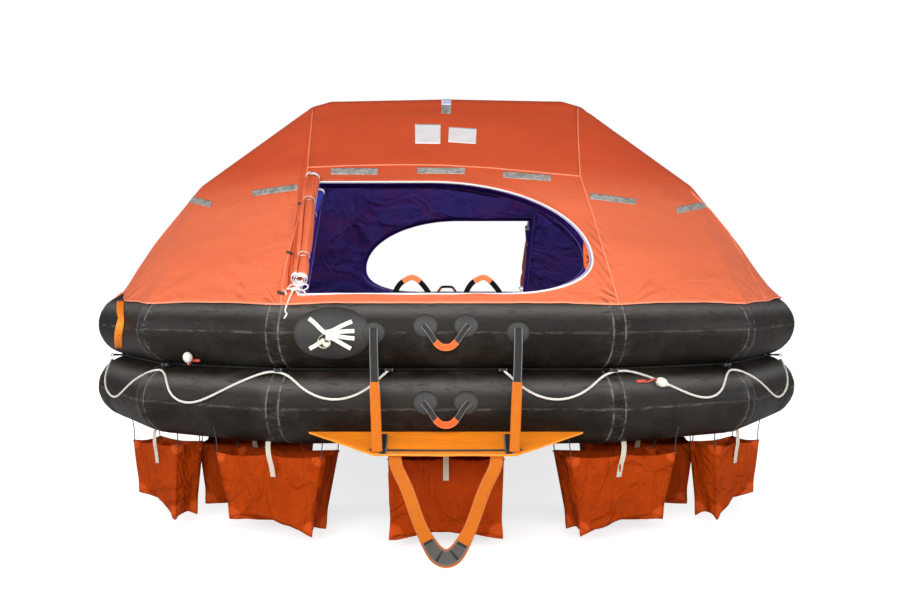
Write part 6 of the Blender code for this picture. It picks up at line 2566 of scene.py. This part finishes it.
def edge_flap():
    """Orange flap with black laces just inside the entrance's rounded end, sewn along the piping."""

    def at(px, py, deep):
        origin, way = photo_ray(px, py)
        scale = 1.0
        for _ in range(4):
            spot = origin + way * scale
            scale *= (WALL.wall_y(spot.x, spot.z) + deep - origin.y) / (spot.y - origin.y)
        return np.array(origin + way * scale)

    shape = Build()
    rows = []
    for share in np.linspace(0, 1, 22):
        py = FLAP_TOP + FLAP_LENGTH * share
        right = FLAP_EDGE + 7.6 * math.sin(math.pi * (0.10 + 0.84 * share)) ** 0.8
        left = right - 9.0 * math.sin(math.pi * min(1.0, 0.04 + share)) ** 0.6 - 0.3
        rows.append([at(left + (right - left) * v, py,
                        0.022 + 0.016 * (1 - v) + 0.004 * math.sin(9 * share + 4 * v))
                     for v in np.linspace(0, 1, 7)])
    shape.rows(np.array(rows))
    laces = Build()
    for low, high in (((585.5, 243.0), (590.0, 247.5)), ((586.0, 251.0), (590.5, 247.5)),
                      ((586.0, 255.5), (590.5, 260.0)), ((586.5, 263.0), (590.0, 260.5))):
        laces.bar([at(*low, 0.030), at(*high, 0.020)], 0.0035, 7)
    shape.finish("entrance_flap_front", [flap_cloth()], "canopy_fabric", wall=0.0025, sharp=180)
    laces.finish("entrance_laces_front", [black_cord()], "black_webbing", sharp=60)


def flap_cloth():
    """Bright orange cloth of the small flap inside the front entrance."""
    return mottled("flap_cloth", 0.6, (0.78, 0.105, 0.010), (0.90, 0.16, 0.020), (12.0, 3.0),
                   crumples(14.0, 0.9), (0.008, 0.6))


def ribbon_through(shape, points, half, up, thickness, kind, count=30):
    """Flat tape through a few points, its width held near one direction."""
    path = smooth_path(points, count)
    centres, reaches, normals = [], [], []
    for index, spot in enumerate(path):
        along = heading(path, index)
        reach = unit(np.asarray(up, float) - along * (np.asarray(up, float) @ along))
        centres.append(spot)
        reaches.append(reach * half)
        normals.append(np.cross(along, reach))
    shape.band(centres, reaches, normals, thickness, kind=kind)


def fittings():
    """Float bulbs with lanyards, the knotted tapes on their round patch and the orange strap at each end."""
    bulbs()
    knot()
    end_straps()
    edge_flap()


def bulbs():
    """Two small floats on red lanyards, seated on the tubes beside the front."""
    for name, side, level, angle, share in (
            ("left", -1, UPPER_TUBE_Z, math.radians(-41), 0.655),
            ("right", 1, LOWER_TUBE_Z, math.radians(35), 0.277)):
        start, stop = CORNERS[0], CORNERS[1]
        along = unit(stop - start)
        outward = np.array((along[1], -along[0]))
        reach = TUBE_RADIUS + 0.026
        flat = start + (stop - start) * share + outward * reach * math.cos(angle)
        centre = np.array((side * flat[0], flat[1], level + reach * math.sin(angle)))
        out = np.array((side * outward[0] * math.cos(angle), outward[1] * math.cos(angle), math.sin(angle)))
        tangent = np.array((side * along[0], along[1], 0.0))
        axis = tangent * 0.85 - np.array((0, 0, 0.5))
        if side < 0:
            axis = np.array((0, 0, -1.0)) + tangent * 0.25
        axis = unit(axis - out * (axis @ out))
        shape = Build()
        path, radii = [], []
        for step in np.linspace(0.03, math.pi - 0.03, 22):
            path.append(centre - axis * 0.031 * math.cos(step))
            radii.append(0.0235 * math.sin(step) ** 0.85 + 0.0008)
        shape.rows(sweep(path, radii, 24), ring=True, caps=True)
        neck = centre + axis * 0.029
        shape.bar([neck, neck + axis * 0.008], 0.0085, 12)
        beside = np.cross(axis, out)
        rim = [centre - axis * 0.002 + (out * math.cos(a) + beside * math.sin(a)) * 0.0236
               for a in np.linspace(0, 2 * math.pi, 33)[:-1]]
        shape.loop(rim, 0.0012, 6)
        drop = np.array((0, 0, -1.0))
        if side < 0:
            ways = [neck, neck + drop * 0.014 + out * 0.004,
                    skin_spot(centre + np.array((-0.052, 0, -0.044)), level, 0.008),
                    skin_spot(centre + np.array((-0.040, 0.0, -0.068)), level, 0.006),
                    skin_spot(centre + np.array((0.012, 0, -0.072)), level, 0.008)]
        else:
            ways = [centre - axis * 0.030, centre - axis * 0.045 + out * 0.004,
                    skin_spot(centre - tangent * 0.075 + np.array((0, 0, 0.022)), level, 0.010),
                    skin_spot(centre - tangent * 0.110 + np.array((0, 0, 0.034)), level, 0.008)]
        shape.bar(ways, 0.0042, 8, kind=1, count=34)
        clip = ways[-1]
        line, widths = round_ends([clip - tangent * 0.020, clip + tangent * 0.016], 0.0115)
        shape.rows(sweep(line, widths, 12, 0.7), kind=1, ring=True, caps=True)
        shape.finish(f"float_bulb_{name}_moulded", [pale_plastic(), cord_red()], "white_plastic",
                     [f"float_bulb_{name}"])


def skin_spot(point, level, lift):
    """The place on a tube's skin nearest to a point, lifted off it."""
    best = None
    for index in range(RING_SIDES):
        start = CORNERS[index]
        along = (CORNERS[(index + 1) % RING_SIDES] - start) / SIDES[index]
        at = float(np.clip((point[:2] - start) @ along, 0, SIDES[index]))
        core = np.array((*(start + along * at), level))
        away = point - core
        if best is None or np.linalg.norm(away) < np.linalg.norm(best[1]):
            best = (core, away)
    core, away = best
    return core + unit(away) * (TUBE_RADIUS + lift)


def knot():
    """Round patch with a knot of cream tapes whose ends fan out over the tube."""
    shape = Build()
    x0, arc0 = -0.560, -0.006
    disc_on_tube(shape, x0, arc0, UPPER_TUBE_Z, 0.187, 0.0034, rings=14, sides=72, squash=0.76)

    def at(px, pz, lift):
        return tube_spot(x0 - 0.030 + px * 1.08, arc0 + pz, UPPER_TUBE_Z, lift)

    tapes = [
        [(-0.010, 0.006), (0.030, 0.016), (0.075, 0.040), (0.118, 0.060)],
        [(0.000, 0.000), (0.040, 0.008), (0.085, 0.012), (0.130, 0.014)],
        [(0.000, -0.008), (0.040, -0.008), (0.085, -0.016), (0.130, -0.022)],
        [(0.002, -0.012), (0.035, -0.022), (0.075, -0.048), (0.112, -0.072)],
        [(-0.002, 0.004), (-0.022, 0.022), (-0.052, 0.052), (-0.078, 0.074)],
        [(-0.008, -0.026), (-0.028, -0.040), (-0.052, -0.058), (-0.076, -0.072)],
    ]
    for number, tape in enumerate(tapes):
        lift = [0.020 - 0.0012 * number, 0.016, 0.0095, 0.0065 + 0.0006 * number]
        points = [at(px, pz, rise) for (px, pz), rise in zip(tape, lift)]
        flat = np.array(points[-1]) - np.array(points[0])
        up = np.cross(flat, (0.0, -1.0, 0.0))
        ribbon_through(shape, points, 0.0102, up, 0.0014, 1)
    loop = [at(-0.008, 0.002, 0.020), at(-0.030, -0.018, 0.026), at(-0.034, -0.046, 0.028),
            at(-0.010, -0.060, 0.030), at(0.016, -0.050, 0.030), at(0.018, -0.030, 0.028),
            at(-0.004, -0.022, 0.022)]
    ribbon_through(shape, loop, 0.0102, (0.35, -1.0, 0.35), 0.0014, 1, 46)
    centre = at(0.002, -0.044, 0.020)
    path = [centre + np.array((-0.016, 0, 0.004)), centre + np.array((0.0, -0.004, -0.003)),
            centre + np.array((0.016, 0, 0.002))]
    line = smooth_path(path, 14)
    width = [0.004 + 0.011 * math.sin(math.pi * share) for share in np.linspace(0.05, 0.95, 14)]
    shape.rows(sweep(line, width, 14, 0.8), kind=1, ring=True, caps=True)
    shape.finish_twins("tape_knot_#", [patch_rubber(), cream_tape()], "tube_rubber")


def cream_tape():
    """Cream cotton tape with a fine rib."""

    def build(s):
        parts = s.parts(s.surface())
        rib = s.sine(s.times(parts[0], 2600.0))
        stain = s.noise(s.place(), 22.0, 4.0, 0.6)
        colour = s.mix(s.span(stain, 0.45, 0.8, 0.0, 0.5), (0.82, 0.78, 0.66), (0.55, 0.50, 0.38))
        return colour, None, s.bump(rib, 0.0004, 0.5)

    return finish_of("cream_tape", 0.75, build)


def end_straps():
    """Bright orange strap that hangs by one edge over the upper tube at the raft's left end, and its twin."""
    tree = BVHTree.FromObject(bpy.data.objects["upper_tube_skin"], bpy.context.evaluated_depsgraph_get())
    rows = []
    for py in np.linspace(STRAP_TOP, STRAP_BOTTOM, 34):
        px = STRAP_EDGE - 0.045 * (py - STRAP_TOP) + 0.5 * math.sin(py * 0.22)
        spot, normal, _, _ = tree.ray_cast(*photo_ray(px, py))
        edge = np.array(spot + (normal if normal.y < 0 else -normal) * 0.004)
        turn = 0.32 + 0.10 * math.sin((py - STRAP_TOP) * 0.12)
        away = np.array((-math.cos(turn), math.sin(turn), 0.0))
        wide = 0.050 - 0.008 * math.exp(-((py - 318.0) / 3.0) ** 2)
        rows.append([edge + away * wide * v for v in np.linspace(0, 1, 7)])
    across = [list(np.linspace(-1, 1, 7))] * len(rows)
    shape = Build()
    shape.rows(np.array(rows), marks={"across": across})
    for form, name in ((shape, "left"), (shape.turned(), "right")):
        form.finish(f"end_strap_{name}", [ramp_cloth()], "orange_webbing", wall=0.003, sharp=180)


# Stage


def camera():
    data = bpy.data.cameras.new("photo_camera")
    data.sensor_width = 36.0
    data.lens = FOCAL_PIXELS / IMAGE[0] * data.sensor_width
    data.shift_x = (IMAGE[0] / 2 - PRINCIPAL[0]) / IMAGE[0]
    data.shift_y = -(IMAGE[1] / 2 - PRINCIPAL[1]) / IMAGE[0]
    data.clip_start, data.clip_end = 0.1, 300.0
    thing = bpy.data.objects.new("photo_camera", data)
    thing.location = CAMERA_PLACE
    thing.rotation_euler = (math.radians(90), 0.0, 0.0)
    bpy.context.scene.collection.objects.link(thing)
    bpy.context.scene.camera = thing


def lamp(name, place, aim, size, power):
    data = bpy.data.lights.new(name, "AREA")
    data.shape = "RECTANGLE"
    data.size, data.size_y = size
    data.energy = power
    thing = bpy.data.objects.new(name, data)
    thing.visible_camera = False
    thing.location = place
    thing.rotation_euler = (Vector(aim) - Vector(place)).to_track_quat("-Z", "Y").to_euler()
    bpy.context.scene.collection.objects.link(thing)


def stage():
    """Pale floor under the raft, soft lights and the photograph's camera."""
    camera()
    shape = Build()
    angles = np.linspace(0, 2 * math.pi, 97)[:-1]
    level = CAD_BOX[0][2] - 0.020
    rings = [[(math.cos(a) * reach, math.sin(a) * reach, level) for a in angles]
             for reach in (80, 30, 12, 6, 3, 0.5)]
    shape.rows(rings, ring=True)
    mesh = bpy.data.meshes.new("studio_floor")
    middle = len(shape.points)
    faces = shape.faces + [(middle, middle - 96 + i, middle - 96 + (i + 1) % 96) for i in range(96)]
    mesh.from_pydata(shape.points + [(0.0, 0.0, level)], [], faces)
    mesh.materials.append(floor_paper())
    thing = bpy.data.objects.new("studio_floor", mesh)
    bpy.context.scene.collection.objects.link(thing)
    lamp("key", (-0.6, -8.6, 2.0), (0, 0, 0.6), (4.5, 2.0), 310)
    lamp("near", (0.0, -4.6, 1.6), (0, -2.6, 0.0), (5.0, 0.6), 50)
    lamp("overhead", (0.0, -5.2, 5.5), (0, -2.6, 0), (7.0, 2.5), 45)
    for side in (-1, 1):
        lamp("side", (side * 7.2, -3.2, 1.3), (side * 1.8, 0.0, 0.9), (2.4, 2.0), 190)
    lamp("back", (0.0, 8.5, 3.5), (0, 0, 0.8), (6.0, 3.0), 300)
    lamp("cabin", (0.0, -0.9, 1.15), (0, 1.5, 0.9), (0.9, 0.5), 15)
    world = bpy.context.scene.world or bpy.data.worlds.new("studio")
    bpy.context.scene.world = world
    world.use_nodes = True
    tree = world.node_tree
    tree.nodes.clear()
    s = Shades(tree)
    light = s.add("ShaderNodeLightPath").outputs["Is Camera Ray"]
    strength = s.add("ShaderNodeMapRange", {"Value": light, "To Min": 0.22, "To Max": 1.0}).outputs[0]
    back = s.add("ShaderNodeBackground", {"Color": (1.0, 1.0, 1.0), "Strength": strength})
    end = tree.nodes.new("ShaderNodeOutputWorld")
    tree.links.new(back.outputs[0], end.inputs[0])
    bpy.context.scene.view_settings.view_transform = "Standard"


def carried_nodes():
    """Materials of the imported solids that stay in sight: floor and arches."""
    for name, finish in (("floor", deck_rubber()), ("arch_front", patch_rubber()),
                         ("arch_rear", patch_rubber())):
        mesh = frame["nodes"][name].data
        mesh.materials.clear()
        mesh.materials.append(finish)


def ring():
    """Both tubes of the ring, the floor, the arches and the strip between the tubes."""
    inflated_tube("lower_tube_skin", LOWER_TUBE_Z, "lower_tube")
    inflated_tube("upper_tube_skin", UPPER_TUBE_Z, "upper_tube")
    groove()
    carried_nodes()


def boarding():
    """Ramps, their straps and the stirrups at both ends."""
    ramp()
    ramp_straps()
    stirrup()


def handles():
    """Grab handles on the tubes and boarding grips inside the entrances."""
    grab_handles()
    boarding_handles()


class RAFT_OT_stage(bpy.types.Operator):
    """Pale floor under the raft, soft lights and the photograph's camera."""

    bl_idname = "raft.stage"
    bl_label = "Stage"

    def execute(self, context):
        stage()
        return {"FINISHED"}


class RAFT_OT_lifelines(bpy.types.Operator):
    """Two white ropes, one round each side of the raft, held at ten anchors each."""

    bl_idname = "raft.lifelines"
    bl_label = "Lifelines"

    def execute(self, context):
        lifelines()
        return {"FINISHED"}


class RAFT_OT_ring(bpy.types.Operator):
    """Both tubes of the ring, the floor, the arches and the strip between the tubes."""

    bl_idname = "raft.ring"
    bl_label = "Tubes and floor"

    def execute(self, context):
        ring()
        return {"FINISHED"}


class RAFT_OT_canopy(bpy.types.Operator):
    """The canopy: one orange cloth over both arches, with an entrance at each end."""

    bl_idname = "raft.canopy"
    bl_label = "Canopy"

    def execute(self, context):
        canopy()
        return {"FINISHED"}


class RAFT_OT_liner(bpy.types.Operator):
    """Inner liner: thin violet blue cloth with its own entrances, joined to the canopy's by short tunnels."""

    bl_idname = "raft.liner"
    bl_label = "Liner"

    def execute(self, context):
        liner()
        return {"FINISHED"}


class RAFT_OT_doors(bpy.types.Operator):
    """Outer and inner doors rolled up beside each entrance and tied."""

    bl_idname = "raft.doors"
    bl_label = "Rolled doors"

    def execute(self, context):
        doors()
        return {"FINISHED"}


class RAFT_OT_boarding(bpy.types.Operator):
    """Ramps, their straps and the stirrups at both ends."""

    bl_idname = "raft.boarding"
    bl_label = "Boarding ramps"

    def execute(self, context):
        boarding()
        return {"FINISHED"}


class RAFT_OT_handles(bpy.types.Operator):
    """Grab handles on the tubes and boarding grips inside the entrances."""

    bl_idname = "raft.handles"
    bl_label = "Handles"

    def execute(self, context):
        handles()
        return {"FINISHED"}


class RAFT_OT_pockets(bpy.types.Operator):
    """Fourteen ballast pockets under the raft, each with its strap and corner cords."""

    bl_idname = "raft.pockets"
    bl_label = "Ballast pockets"

    def execute(self, context):
        pockets()
        return {"FINISHED"}


class RAFT_OT_markers(bpy.types.Operator):
    """Reflective tapes and two blank white patches on the canopy."""

    bl_idname = "raft.markers"
    bl_label = "Tapes and patches"

    def execute(self, context):
        markers()
        return {"FINISHED"}


class RAFT_OT_fittings(bpy.types.Operator):
    """Float bulbs with lanyards, the knotted tapes on their round patch and the orange strap at each end."""

    bl_idname = "raft.fittings"
    bl_label = "Fittings"

    def execute(self, context):
        fittings()
        return {"FINISHED"}


class RAFT_OT_stitches(bpy.types.Operator):
    """All the raft's visible rows of stitches, laid along the remembered lines."""

    bl_idname = "raft.stitches"
    bl_label = "Stitching"

    def execute(self, context):
        stitches()
        return {"FINISHED"}


OPERATORS = [
    RAFT_OT_stage,
    RAFT_OT_lifelines,
    RAFT_OT_ring,
    RAFT_OT_canopy,
    RAFT_OT_liner,
    RAFT_OT_doors,
    RAFT_OT_boarding,
    RAFT_OT_handles,
    RAFT_OT_pockets,
    RAFT_OT_markers,
    RAFT_OT_fittings,
    RAFT_OT_stitches,
]


class RAFT_PT_panel(bpy.types.Panel):
    """Sidebar panel that lists the steps in the order they run."""

    bl_idname = "RAFT_PT_panel"
    bl_label = "Life raft"
    bl_space_type = "VIEW_3D"
    bl_region_type = "UI"
    bl_category = "Life raft"

    def draw(self, context):
        for key in RaftSizes.__annotations__:
            self.layout.prop(context.scene.raft_sizes, key)
        for key in RaftColours.__annotations__:
            self.layout.prop(context.scene.raft_colours, key)
        for step in OPERATORS:
            self.layout.operator(step.bl_idname)


CLASSES = [RaftSizes, RaftColours, *OPERATORS, RAFT_PT_panel]


def register():
    for item in CLASSES:
        bpy.utils.register_class(item)
    bpy.types.Scene.raft_sizes = bpy.props.PointerProperty(type=RaftSizes)
    bpy.types.Scene.raft_colours = bpy.props.PointerProperty(type=RaftColours)


def unregister():
    del bpy.types.Scene.raft_colours
    del bpy.types.Scene.raft_sizes
    for item in reversed(CLASSES):
        bpy.utils.unregister_class(item)


def main():
    register()
    bpy.ops.raft.stage()
    bpy.ops.raft.lifelines()
    bpy.ops.raft.ring()
    bpy.ops.raft.canopy()
    bpy.ops.raft.liner()
    bpy.ops.raft.doors()
    bpy.ops.raft.boarding()
    bpy.ops.raft.handles()
    bpy.ops.raft.pockets()
    bpy.ops.raft.markers()
    bpy.ops.raft.fittings()
    bpy.ops.raft.stitches()


if __name__ == "__main__":
    main()
